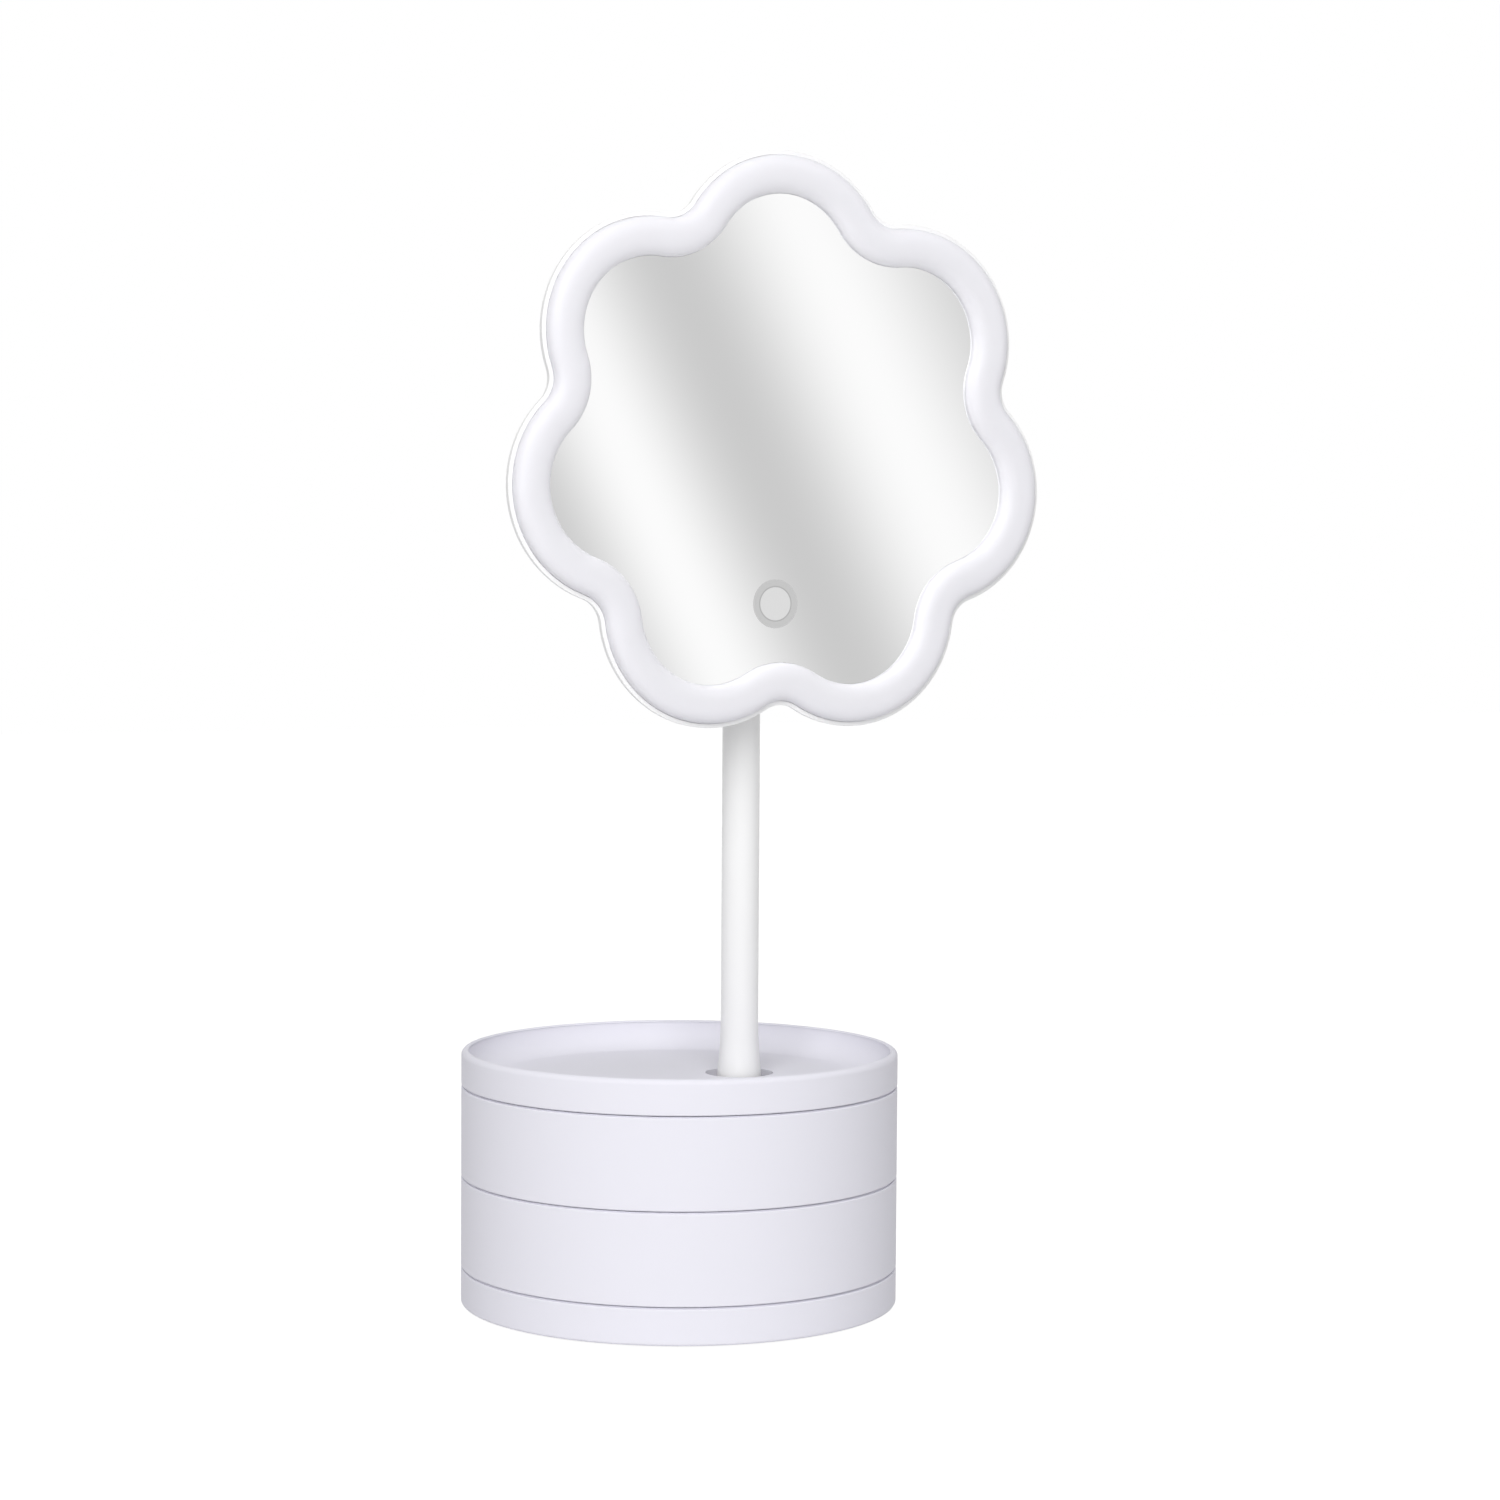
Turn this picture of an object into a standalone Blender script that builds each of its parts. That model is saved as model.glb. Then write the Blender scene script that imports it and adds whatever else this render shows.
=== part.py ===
"""Lighted vanity mirror with a round stack of swivelling drawers.

Metres, +Z up. The origin is the centre of the foot pad's underside and the mirror faces -Y.
Two drawers and an open tray turn on a hollow column that is bolted through the weighted base.
The mirror's post stands inside that column and turns in two bushes, and the seven-lobed head
tilts on a friction hinge at the top of the post.
"""
import math

import bmesh
import bpy
from mathutils import Matrix, Vector

# Clearances: one at every seat or running fit, one for the line seen between the tiers
SEAT_GAP = 0.0003
SEAM_GAP = 0.0006
OVERRUN = 0.001

# Round stack of drawers
TIER_RADIUS = 0.075
TIER_WALL = 0.0026
DRAWER_HEIGHT = 0.0306
DRAWER_FLOOR = 0.0020
DRAWER_FILLET = 0.003
TRAY_HEIGHT = 0.0119
TRAY_FLOOR = 0.0021
TRAY_FILLET = 0.009
EDGE_ROUND_SHARE = 0.2
RIM_ROUND_SHARE = 0.75
BASE_ROUND_SHARE = 0.9

# Weighted base
PAD_THICKNESS = 0.0013
PAD_PROUD = 0.0010
PAD_MARGIN = 0.0035
COVER_THICKNESS = 0.0024
BALLAST_THICKNESS = 0.0031
FLANGE_THICKNESS = 0.0030
FLANGE_RADIUS = 0.020
BASE_PLATE = 0.0022
BASE_BOSS_RADIUS = 0.0036
BASE_BOSS_INSET = 0.0043
COVER_SCREWS = 4
COLUMN_SCREWS = 3
SCREW_RADIUS = 0.0015
SCREW_HEAD_RADIUS = 0.0028
SCREW_HEAD_HEIGHT = 0.0010

# Post, its bushes and the column round it
POST_OFFSET = 0.0225
POST_RADIUS = 0.0065
POST_WALL = 0.0010
FOOT_FLARE = 0.0012
FLARE_HEIGHT = 0.026
FOOT_SKIRT = 0.0024
BUSH_WALL = 0.0013
BUSH_LENGTH = 0.0125
BUSH_INSET = 0.0014
COLUMN_WALL = 0.0020
SHOULDER_THICKNESS = 0.0030
SHOULDER_HOLE_RADIUS = 0.0030
HEAD_ROOM = 0.0023
THRUST_THICKNESS = 0.0010
PLUG_LENGTH = 0.014
RETAINER_RADIUS = 0.0020
RETAINER_HEAD_RADIUS = 0.0036
RETAINER_HEAD_HEIGHT = 0.0024
HUB_WALL = 0.0043
HUB_WASHER_THICKNESS = 0.0010
HUB_WASHER_LIP = 0.0015
LEDGE_THICKNESS = 0.0028
CLIP_THICKNESS = 0.0008
CLIP_PROUD = 0.0011
CLIP_OPENING = 0.007
GROOVE_DROP = 0.0023
GROOVE_SHARE = 0.4

# Tilt hinge at the top of the post
HEAD_HEIGHT = 0.2933
HEAD_REACH = 0.0318
KNUCKLE_RADIUS = 0.0080
KNUCKLE_WIDTH = 0.0112
NECK_SHOW = 0.0020
FRICTION_RADIUS = 0.0060
FRICTION_THICKNESS = 0.0008
LUG_THICKNESS = 0.0036
BRACKET_MARGIN = 0.0014
BRACKET_HEIGHT = 0.030
BRACKET_THICKNESS = 0.0032
BRACKET_SCREW_INSET = 0.0035
BOLT_RADIUS = 0.0020
BOLT_HEAD_RADIUS = 0.0045
BOLT_HEAD_HEIGHT = 0.0020

# Lobed head: lobes of one radius on a circle, joined by small round valleys
LOBES = 7
LOBE_CIRCLE_RADIUS = 0.060
LOBE_RADIUS = 0.038
VALLEY_RADIUS = 0.0113
RING_WIDTH = 0.0128
RING_RISE = 0.0045
RING_WALL = 0.0018
RING_OUTER_LEG = 0.0032
RING_INNER_LEG = 0.0016
RING_LEG_DEPTH = 0.0027
LIP_WIDTH = 0.0012
LIP_FLAT = 0.0008
HOUSING_WALL = 0.0018
HOUSING_SHOULDER = 0.0240
GLASS_THICKNESS = 0.0020
CARRIER_PLATE = 0.0020
CARRIER_FLOOR = 0.0014
CARRIER_STEP = 0.0019
CARRIER_RIM_INSET = 0.0024
CARRIER_RIM = 0.0012
STRIP_WIDTH = 0.0044
STRIP_THICKNESS = 0.0004
CHIP_HEIGHT = 0.0008
CHIP_INSET = 0.0012
HEAD_BOSS_CIRCLE = 0.062
HEAD_BOSS_RADIUS = 0.0034
HEAD_BOSS_LOBES = (1, 6)
CARRIER_HEAD_HEIGHT = 0.0007

# Electrics inside the head
BATTERY_WIDTH = 0.060
BATTERY_HEIGHT = 0.034
BATTERY_THICKNESS = 0.0055
BATTERY_ROOM = 0.0018
BOARD_WIDTH = 0.044
BOARD_HEIGHT = 0.046
BOARD_MARGIN = 0.0015
LAMP_LEAD_RUN = 0.0164
BOARD_THICKNESS = 0.0016
SOCKET_WIDTH = 0.0090
SOCKET_HEIGHT = 0.0032
SOCKET_WALL = 0.0004
SOCKET_INSET = 0.0060
SOCKET_DROP = 0.0090
SOCKET_SUNK = 0.0004
SOCKET_POCKET = 0.0055
TOUCH_DROP = 0.0528
TOUCH_RADIUS = 0.0035
LEAD_RADIUS = 0.0006
LEAD_SPREAD = 0.0040
LAMP_LEAD_RADIUS = 0.00075
LAMP_LEAD_BEND = 0.0020
LAMP_HOLE_RADIUS = 0.0012

# Counts of facets
DRUM_STEPS = 44
ROUND_STEPS = 24
WASHER_STEPS = 18
SMALL_STEPS = 8
LOBE_STEPS = 6
VALLEY_STEPS = 3
CURVE_STEPS = 5
CORNER_STEPS = 2
CHIP_SPACING = 3
SHARP_ANGLE = math.radians(35)
MERGE_DISTANCE = 1e-7

# Shares that shape the curves
SHELL_RISE_SHARE = 0.53
SHELL_TURN_SHARE = 0.33
SHELL_INNER_RISE_SHARE = 0.48
NECK_SHARE = 0.4
HEAD_CROWN_SHARE = 0.6
COUNTERSUNK_SHARE = 0.45
LEAD_ROOM_SHARE = 1.5
LEAD_RISE_SHARE = 0.4

# Radii that follow from the post outwards
post_bore = POST_RADIUS - POST_WALL
bush_bore = POST_RADIUS + SEAT_GAP
bush_radius = bush_bore + BUSH_WALL
column_bore = bush_radius + SEAT_GAP
column_radius = column_bore + COLUMN_WALL
hub_bore = column_radius + SEAT_GAP
hub_radius = hub_bore + HUB_WALL
recess_radius = hub_radius - HUB_WASHER_LIP
groove_radius = column_radius - COLUMN_WALL * GROOVE_SHARE
clip_radius = column_radius + CLIP_PROUD
counterbore_radius = clip_radius + SEAT_GAP
retainer_bore = RETAINER_RADIUS + SEAT_GAP
plug_radius = post_bore - SEAT_GAP
screw_hole_radius = SCREW_RADIUS + SEAT_GAP
screw_sink_radius = SCREW_HEAD_RADIUS + SEAT_GAP

# Radii inside the base
inner_radius = TIER_RADIUS - TIER_WALL
base_boss_circle = inner_radius - BASE_BOSS_INSET - BASE_BOSS_RADIUS
ballast_radius = base_boss_circle - BASE_BOSS_RADIUS - SEAT_GAP
pad_radius = base_boss_circle - SCREW_HEAD_RADIUS - PAD_MARGIN
column_screw_circle = (column_bore + FLANGE_RADIUS) / 2

# Heights, from the table up
cover_low = PAD_THICKNESS + SEAT_GAP
cover_high = cover_low + COVER_THICKNESS
ballast_low = cover_high + SEAT_GAP
ballast_high = ballast_low + BALLAST_THICKNESS
flange_low = ballast_high + SEAT_GAP
flange_high = flange_low + FLANGE_THICKNESS
plate_low = flange_high + SEAT_GAP
base_low = PAD_PROUD
base_high = plate_low + BASE_PLATE
lower_drawer_low = base_high + SEAM_GAP
upper_drawer_low = lower_drawer_low + DRAWER_HEIGHT + SEAM_GAP
tray_low = upper_drawer_low + DRAWER_HEIGHT + SEAM_GAP
tray_floor_high = tray_low + TRAY_FLOOR
foot_low = tray_floor_high - FOOT_SKIRT
column_high = foot_low - SEAT_GAP
groove_low = column_high - GROOVE_DROP
groove_high = groove_low + CLIP_THICKNESS + 2 * SEAT_GAP
ledge_low = groove_low - LEDGE_THICKNESS
recess_depth = HUB_WASHER_THICKNESS + 2 * SEAT_GAP - SEAM_GAP

# Heights inside the column
retainer_low = flange_low + HEAD_ROOM
retainer_high = retainer_low + RETAINER_HEAD_HEIGHT
retaining_washer_low = retainer_high + SEAT_GAP
shoulder_low = retaining_washer_low + THRUST_THICKNESS + SEAT_GAP
shoulder_high = shoulder_low + SHOULDER_THICKNESS
thrust_washer_low = shoulder_high + SEAT_GAP
post_low = thrust_washer_low + THRUST_THICKNESS + SEAT_GAP
post_high = HEAD_HEIGHT - KNUCKLE_RADIUS - NECK_SHOW

# Widths across the hinge
knuckle_half = KNUCKLE_WIDTH / 2
friction_low = knuckle_half + SEAT_GAP
lug_low = friction_low + FRICTION_THICKNESS + SEAT_GAP
lug_high = lug_low + LUG_THICKNESS
bracket_half = lug_high + BRACKET_MARGIN
bolt_bore = BOLT_RADIUS + SEAT_GAP

# Depths in the head, back from the plane of the housing's lip
glass_front = SEAT_GAP
glass_back = glass_front + GLASS_THICKNESS
carrier_front = glass_back + SEAT_GAP
carrier_back = carrier_front + CARRIER_PLATE
channel_front = carrier_front + CARRIER_STEP + SEAT_GAP / 2
channel_back = channel_front + CARRIER_FLOOR
strip_back = channel_front - SEAT_GAP
electrics_front = carrier_back + SEAT_GAP
board_back = electrics_front + BOARD_THICKNESS
battery_back = electrics_front + BATTERY_THICKNESS
shell_inside = battery_back + BATTERY_ROOM
shell_back = shell_inside + HOUSING_WALL
bracket_front = shell_back + SEAT_GAP
bracket_back = bracket_front + BRACKET_THICKNESS
lead_depth = electrics_front + BOARD_THICKNESS / 2

# Places in the lobed head, from the hinge axis or inward from the light ring's outer edge
half_lobe = math.pi / LOBES
lobe_side = LOBE_CIRCLE_RADIUS * math.sin(half_lobe)
valley_reach = math.sqrt((LOBE_RADIUS + VALLEY_RADIUS) ** 2 - lobe_side ** 2)
valley_circle = LOBE_CIRCLE_RADIUS * math.cos(half_lobe) + valley_reach
glass_inset = RING_WIDTH + SEAT_GAP
carrier_inset = glass_inset + CARRIER_STEP
strip_inset = (RING_WIDTH + RING_OUTER_LEG - RING_INNER_LEG) / 2
lamp_hole_low = strip_inset + VALLEY_RADIUS - valley_circle
battery_low = BRACKET_HEIGHT / 2
board_low = lamp_hole_low + LAMP_LEAD_RUN
board_high = board_low + BOARD_HEIGHT
low_boss_side = BOARD_WIDTH / 2 + BOARD_MARGIN + HEAD_BOSS_RADIUS
low_boss_height = -math.sqrt(HEAD_BOSS_CIRCLE ** 2 - low_boss_side ** 2)


def clear_scene():
    for item in list(bpy.data.objects):
        bpy.data.objects.remove(item, do_unlink=True)


def finish(name, colour, roughness, metallic=0.0):
    """A plain material with the colour, roughness and metallic value of one finish."""
    material = bpy.data.materials.new(name)
    material.use_nodes = True
    surface = material.node_tree.nodes["Principled BSDF"]
    surface.inputs["Base Color"].default_value = (*colour, 1.0)
    surface.inputs["Roughness"].default_value = roughness
    surface.inputs["Metallic"].default_value = metallic
    return material


def frame(name, at, parent=None):
    """An empty that carries the pieces of one body; it stands on the body's joint axis."""
    empty = bpy.data.objects.new(name, None)
    empty.location = at
    empty.parent = parent
    bpy.context.collection.objects.link(empty)
    return empty


def add(name, shape, material, carrier, at=(0.0, 0.0, 0.0)):
    """Makes a shape one named piece, carried by a frame."""
    mesh = bpy.data.meshes.new(name)
    shape.to_mesh(mesh)
    shape.free()
    mesh.materials.append(material)
    mesh.shade_smooth()
    mesh.set_sharp_from_angle(angle=SHARP_ANGLE)
    piece = bpy.data.objects.new(name, mesh)
    piece.location = at
    piece.parent = carrier
    bpy.context.collection.objects.link(piece)
    return piece


def combine(owner, shape, operation):
    """Adds a Boolean to a piece, with a hidden guide given in the piece's own frame."""
    name = f"{owner.name}_{operation.lower()}_{len(owner.modifiers) + 1}"
    mesh = bpy.data.meshes.new(name)
    shape.to_mesh(mesh)
    shape.free()
    guide = bpy.data.objects.new(name, mesh)
    guide.parent = owner
    guide.hide_render = True
    guide.display_type = "WIRE"
    bpy.context.collection.objects.link(guide)
    step = owner.modifiers.new(name, "BOOLEAN")
    step.operation = operation
    step.object = guide
    step.solver = "EXACT"


def cut(owner, shape):
    combine(owner, shape, "DIFFERENCE")


def fuse(owner, shape):
    combine(owner, shape, "UNION")


def arc(centre, radius, start, end, steps=CORNER_STEPS):
    """Points of an arc in a profile, angles in degrees, both ends included."""
    points = []
    for step in range(steps + 1):
        turn = math.radians(start + (end - start) * step / steps)
        points.append((centre[0] + radius * math.cos(turn), centre[1] + radius * math.sin(turn)))
    return points


def bezier(start, pull_start, pull_end, end, steps=CURVE_STEPS):
    """Points of a cubic curve in a profile, both ends included."""
    points = []
    for step in range(steps + 1):
        t = step / steps
        weights = ((1 - t) ** 3, 3 * t * (1 - t) ** 2, 3 * t ** 2 * (1 - t), t ** 3)
        corners = (start, pull_start, pull_end, end)
        points.append(tuple(sum(w * c[axis] for w, c in zip(weights, corners)) for axis in (0, 1)))
    return points


def spun(profile, steps=ROUND_STEPS):
    """Turns (radius, height) points about Z.

    A profile that starts on the axis ends there too, and each end is then one flat face.
    """
    shape = bmesh.new()
    corners = [shape.verts.new((radius, 0.0, height)) for radius, height in profile]
    edges = [shape.edges.new(pair) for pair in zip(corners, corners[1:])]
    if profile[0][0] > 0:
        edges.append(shape.edges.new((corners[-1], corners[0])))
    bmesh.ops.spin(shape, geom=corners + edges, cent=(0, 0, 0), axis=(0, 0, 1),
                   angle=math.tau, steps=steps, use_merge=False)
    bmesh.ops.remove_doubles(shape, verts=shape.verts, dist=MERGE_DISTANCE)
    middles = [corner for corner in shape.verts if corner.co.xy.length < MERGE_DISTANCE]
    bmesh.ops.dissolve_verts(shape, verts=middles)
    bmesh.ops.recalc_face_normals(shape, faces=shape.faces)
    return shape


def washer(bore, radius, low, high):
    return spun([(bore, low), (radius, low), (radius, high), (bore, high)], WASHER_STEPS)


def rod(radius, start, end, steps=SMALL_STEPS):
    """A round bar between two points."""
    start, end = Vector(start), Vector(end)
    shape = spun([(0.0, 0.0), (radius, 0.0), (radius, (end - start).length),
                  (0.0, (end - start).length)], steps)
    return placed(shape, end - start, start)


def placed(shape, direction, at=(0.0, 0.0, 0.0)):
    """Turns a shape's +Z to a direction and moves it to a point."""
    turn = Vector((0, 0, 1)).rotation_difference(Vector(direction)).to_matrix().to_4x4()
    shape.transform(Matrix.Translation(Vector(at)) @ turn)
    return shape


def block(low, high):
    """A box between two corners."""
    shape = bmesh.new()
    bmesh.ops.create_cube(shape, size=1.0)
    low, high = Vector(low), Vector(high)
    for corner in shape.verts:
        corner.co = Vector(l + (c + 0.5) * (h - l) for c, l, h in zip(corner.co, low, high))
    return shape


def prism(outline, low, high):
    """Extrudes an outline along +X; its points are (depth, height)."""
    shape = bmesh.new()
    face = shape.faces.new([shape.verts.new((low, y, z)) for y, z in outline])
    grown = bmesh.ops.extrude_face_region(shape, geom=[face])
    corners = [item for item in grown["geom"] if isinstance(item, bmesh.types.BMVert)]
    bmesh.ops.translate(shape, verts=corners, vec=(high - low, 0.0, 0.0))
    bmesh.ops.recalc_face_normals(shape, faces=shape.faces)
    return shape


def screw(radius, head_radius, head_height, length, steps=SMALL_STEPS):
    """A round-headed screw: the head above the origin, the shank below it."""
    crown = head_height * HEAD_CROWN_SHARE
    return spun([(0.0, -length), (radius, -length), (radius, 0.0), (head_radius, 0.0),
                 (head_radius, crown), (head_radius * (1 - HEAD_CROWN_SHARE / 3), head_height),
                 (0.0, head_height)], steps)


def ring_places(count, radius):
    """Places spaced evenly round the origin, the first one half a step from +X."""
    turns = [math.tau * (number + 0.5) / count for number in range(count)]
    return [(radius * math.cos(turn), radius * math.sin(turn)) for turn in turns]


def petal_outline():
    """The light ring's outer edge as (x, z, outward x, outward z), one lobe at the top."""
    bend = math.atan2(lobe_side, valley_reach) + half_lobe
    points = []
    for number in range(LOBES):
        facing = math.pi / 2 + 2 * half_lobe * number
        for step in range(LOBE_STEPS + 1):
            turn = facing - bend + 2 * bend * step / LOBE_STEPS
            nx, nz = math.cos(turn), math.sin(turn)
            points.append((LOBE_CIRCLE_RADIUS * math.cos(facing) + LOBE_RADIUS * nx,
                           LOBE_CIRCLE_RADIUS * math.sin(facing) + LOBE_RADIUS * nz, nx, nz))
        for step in range(1, VALLEY_STEPS):
            turn = facing + bend - 2 * (bend - half_lobe) * step / VALLEY_STEPS
            nx, nz = math.cos(turn), math.sin(turn)
            points.append((valley_circle * math.cos(facing + half_lobe) - VALLEY_RADIUS * nx,
                           valley_circle * math.sin(facing + half_lobe) - VALLEY_RADIUS * nz, nx, nz))
    return points


def petal(section, capped):
    """Carries a section of (outward offset, depth) points round the lobed outline."""
    shape = bmesh.new()
    loops = [[shape.verts.new((x + nx * offset, depth, z + nz * offset))
              for x, z, nx, nz in petal_outline()] for offset, depth in section]
    pairs = list(zip(loops, loops[1:]))
    if not capped:
        pairs.append((loops[-1], loops[0]))
    for near, far in pairs:
        for index in range(len(near)):
            shape.faces.new((near[index - 1], near[index], far[index], far[index - 1]))
    if capped:
        shape.faces.new(loops[0])
        shape.faces.new(loops[-1])
    bmesh.ops.recalc_face_normals(shape, faces=shape.faces)
    return shape


def lobe_place(number, radius):
    """The place at a radius in the middle of one lobe, as (x, z)."""
    facing = math.pi / 2 + 2 * half_lobe * number
    return radius * math.cos(facing), radius * math.sin(facing)


def head_boss_places():
    """Places of the housing's bosses: two in the upper lobes and two beside the board."""
    upper = [lobe_place(number, HEAD_BOSS_CIRCLE) for number in HEAD_BOSS_LOBES]
    return upper + [(-low_boss_side, low_boss_height), (low_boss_side, low_boss_height)]


def wire(name, points, radius, material, carrier):
    """A soldered lead, drawn as a tube through its points."""
    curve = bpy.data.curves.new(name, "CURVE")
    curve.dimensions = "3D"
    curve.bevel_depth = radius
    curve.bevel_resolution = 1
    curve.use_fill_caps = True
    curve.materials.append(material)
    spline = curve.splines.new("POLY")
    spline.points.add(len(points) - 1)
    for point, place in zip(spline.points, points):
        point.co = (*place, 1.0)
    lead = bpy.data.objects.new(name, curve)
    lead.parent = carrier
    bpy.context.collection.objects.link(lead)


def bowl(height, floor, fillet, fillet_steps, rim_round):
    """One round tier, open at the top, with its origin on the swivel axis."""
    edge = TIER_WALL * EDGE_ROUND_SHARE
    profile = [(0.0, 0.0)]
    profile += arc((TIER_RADIUS - edge, edge), edge, -90, 0)
    profile += arc((TIER_RADIUS - rim_round, height - rim_round), rim_round, 0, 90)
    profile += arc((inner_radius + edge, height - edge), edge, 90, 180)
    profile += arc((inner_radius - fillet, floor + fillet), fillet, 0, -90, fillet_steps)
    profile += [(0.0, floor)]
    shape = spun(profile, DRUM_STEPS)
    shape.transform(Matrix.Translation((-POST_OFFSET, 0.0, 0.0)))
    return shape


def foot_pad(rubber, stand):
    add("foot_pad", spun([(0.0, 0.0), (pad_radius, 0.0), (pad_radius, PAD_THICKNESS),
                          (0.0, PAD_THICKNESS)], DRUM_STEPS), rubber, stand)


def base_cover(plastic, steel, stand):
    """The bottom cover and the screws that hold it to the base shell's bosses."""
    radius = inner_radius - SEAT_GAP
    cover = add("base_cover", spun([(0.0, cover_low), (radius, cover_low), (radius, cover_high),
                                    (0.0, cover_high)], DRUM_STEPS), plastic, stand)
    head_low = cover_low + SEAT_GAP / 2
    head_high = head_low + SCREW_HEAD_HEIGHT
    tip = plate_low - SEAT_GAP * 2
    places = ring_places(COVER_SCREWS, base_boss_circle)
    for number, (x, y) in enumerate(places, 1):
        cut(cover, rod(screw_hole_radius, (x, y, cover_low - OVERRUN), (x, y, cover_high + OVERRUN)))
        cut(cover, rod(screw_sink_radius, (x, y, cover_low - OVERRUN), (x, y, head_high + SEAT_GAP)))
        shape = screw(SCREW_RADIUS, SCREW_HEAD_RADIUS, SCREW_HEAD_HEIGHT, tip - head_high)
        add(f"cover_screw_{number}", placed(shape, (0, 0, -1)), steel, stand, (x, y, head_high))


def base_shell(plastic, stand):
    """The base's casing: a turned shell with a top plate, a hole for the column and bosses."""
    edge = TIER_WALL * EDGE_ROUND_SHARE
    sole = TIER_WALL * BASE_ROUND_SHARE
    profile = [(0.0, plate_low), (inner_radius, plate_low), (inner_radius, base_low)]
    profile += arc((TIER_RADIUS - sole, base_low + sole), sole, -90, 0, CORNER_STEPS + 1)
    profile += arc((TIER_RADIUS - edge, base_high - edge), edge, 0, 90)
    profile += [(0.0, base_high)]
    shell = add("base_shell", spun(profile, DRUM_STEPS), plastic, stand)
    for x, y in ring_places(COVER_SCREWS, base_boss_circle):
        fuse(shell, rod(BASE_BOSS_RADIUS, (x, y, ballast_low), (x, y, (plate_low + base_high) / 2)))
        cut(shell, rod(screw_hole_radius, (x, y, ballast_low - OVERRUN), (x, y, plate_low - SEAT_GAP)))
    cut(shell, rod(hub_bore, (POST_OFFSET, 0, plate_low - OVERRUN),
                   (POST_OFFSET, 0, base_high + OVERRUN), ROUND_STEPS))


def ballast_plate(steel, bolt_steel, stand, tower):
    """The steel weight, and the screws that clamp it to the column's flange."""
    plate = add("ballast_plate", spun([(0.0, ballast_low), (ballast_radius, ballast_low),
                                       (ballast_radius, ballast_high), (0.0, ballast_high)],
                                      DRUM_STEPS), steel, stand)
    head_height = BALLAST_THICKNESS * COUNTERSUNK_SHARE
    head_high = ballast_low + SEAT_GAP + head_height
    tip = flange_high - SEAT_GAP * 3
    for number, (x, y) in enumerate(ring_places(COLUMN_SCREWS, column_screw_circle), 1):
        side = x + POST_OFFSET
        cut(plate, rod(screw_hole_radius, (side, y, ballast_low - OVERRUN),
                       (side, y, ballast_high + OVERRUN)))
        cut(plate, rod(screw_sink_radius, (side, y, ballast_low - OVERRUN),
                       (side, y, head_high + SEAT_GAP)))
        shape = screw(SCREW_RADIUS, SCREW_HEAD_RADIUS, head_height, tip - head_high)
        add(f"column_screw_{number}", placed(shape, (0, 0, -1)), bolt_steel, tower,
            (x, y, head_high))


def pivot_column(plastic, tower):
    """The hollow column that the tiers turn on and that the post's bushes sit in."""
    column = add("pivot_column", spun([
        (column_bore, flange_low), (FLANGE_RADIUS, flange_low), (FLANGE_RADIUS, flange_high),
        (column_radius, flange_high), (column_radius, groove_low), (groove_radius, groove_low),
        (groove_radius, groove_high), (column_radius, groove_high), (column_radius, column_high),
        (column_bore, column_high), (column_bore, shoulder_high),
        (SHOULDER_HOLE_RADIUS, shoulder_high), (SHOULDER_HOLE_RADIUS, shoulder_low),
        (column_bore, shoulder_low)]), plastic, tower)
    for x, y in ring_places(COLUMN_SCREWS, column_screw_circle):
        cut(column, rod(screw_hole_radius, (x, y, flange_low - OVERRUN),
                        (x, y, flange_high - SEAT_GAP * 2)))


def tier_washers(nylon, tower):
    """Slip washers under the hubs, let into each tier's underside."""
    lows = (base_high, lower_drawer_low + DRAWER_HEIGHT, ledge_low - SEAM_GAP)
    for number, seat in enumerate(lows, 1):
        low = seat + SEAT_GAP
        add(f"tier_washer_{number}", washer(hub_bore, recess_radius - SEAT_GAP, low,
                                            low + HUB_WASHER_THICKNESS), nylon, tower)


def drawer(name, plastic, turner, low, hub_high):
    """A drawer: a round bowl with a hub for the column, off the middle of the bowl."""
    edge = TIER_WALL * EDGE_ROUND_SHARE
    piece = add(name, bowl(DRAWER_HEIGHT, DRAWER_FLOOR, DRAWER_FILLET, CORNER_STEPS, edge),
                plastic, turner, (0.0, 0.0, low))
    fuse(piece, rod(hub_radius, (0, 0, DRAWER_FLOOR / 2), (0, 0, hub_high - low), ROUND_STEPS))
    cut(piece, rod(hub_bore, (0, 0, -OVERRUN), (0, 0, hub_high - low + OVERRUN), ROUND_STEPS))
    cut(piece, rod(recess_radius, (0, 0, -OVERRUN), (0, 0, recess_depth), ROUND_STEPS))


def tray(plastic, turner):
    """The open tray: its boss hangs into the drawer below and carries the clip's ledge."""
    rim = TIER_WALL * RIM_ROUND_SHARE
    piece = add("tray", bowl(TRAY_HEIGHT, TRAY_FLOOR, TRAY_FILLET, CURVE_STEPS, rim), plastic,
                turner, (0.0, 0.0, tray_low))
    bottom, ledge = ledge_low - tray_low, groove_low - tray_low
    fuse(piece, rod(hub_radius, (0, 0, bottom), (0, 0, TRAY_FLOOR / 2), ROUND_STEPS))
    cut(piece, rod(hub_bore, (0, 0, bottom - OVERRUN), (0, 0, TRAY_FLOOR + OVERRUN), ROUND_STEPS))
    cut(piece, rod(recess_radius, (0, 0, bottom - OVERRUN), (0, 0, bottom + recess_depth),
                   ROUND_STEPS))
    cut(piece, rod(counterbore_radius, (0, 0, ledge), (0, 0, TRAY_FLOOR + OVERRUN), ROUND_STEPS))


def circlip(steel, tower):
    """The spring clip that holds the tray down, open on one side to go over the column."""
    clip = add("circlip", washer(groove_radius + SEAT_GAP, clip_radius, groove_low + SEAT_GAP,
                                 groove_low + SEAT_GAP + CLIP_THICKNESS), steel, tower)
    cut(clip, block((0.0, -CLIP_OPENING / 2, groove_low - OVERRUN),
                    (clip_radius + OVERRUN, CLIP_OPENING / 2, groove_high + OVERRUN)))


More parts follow.
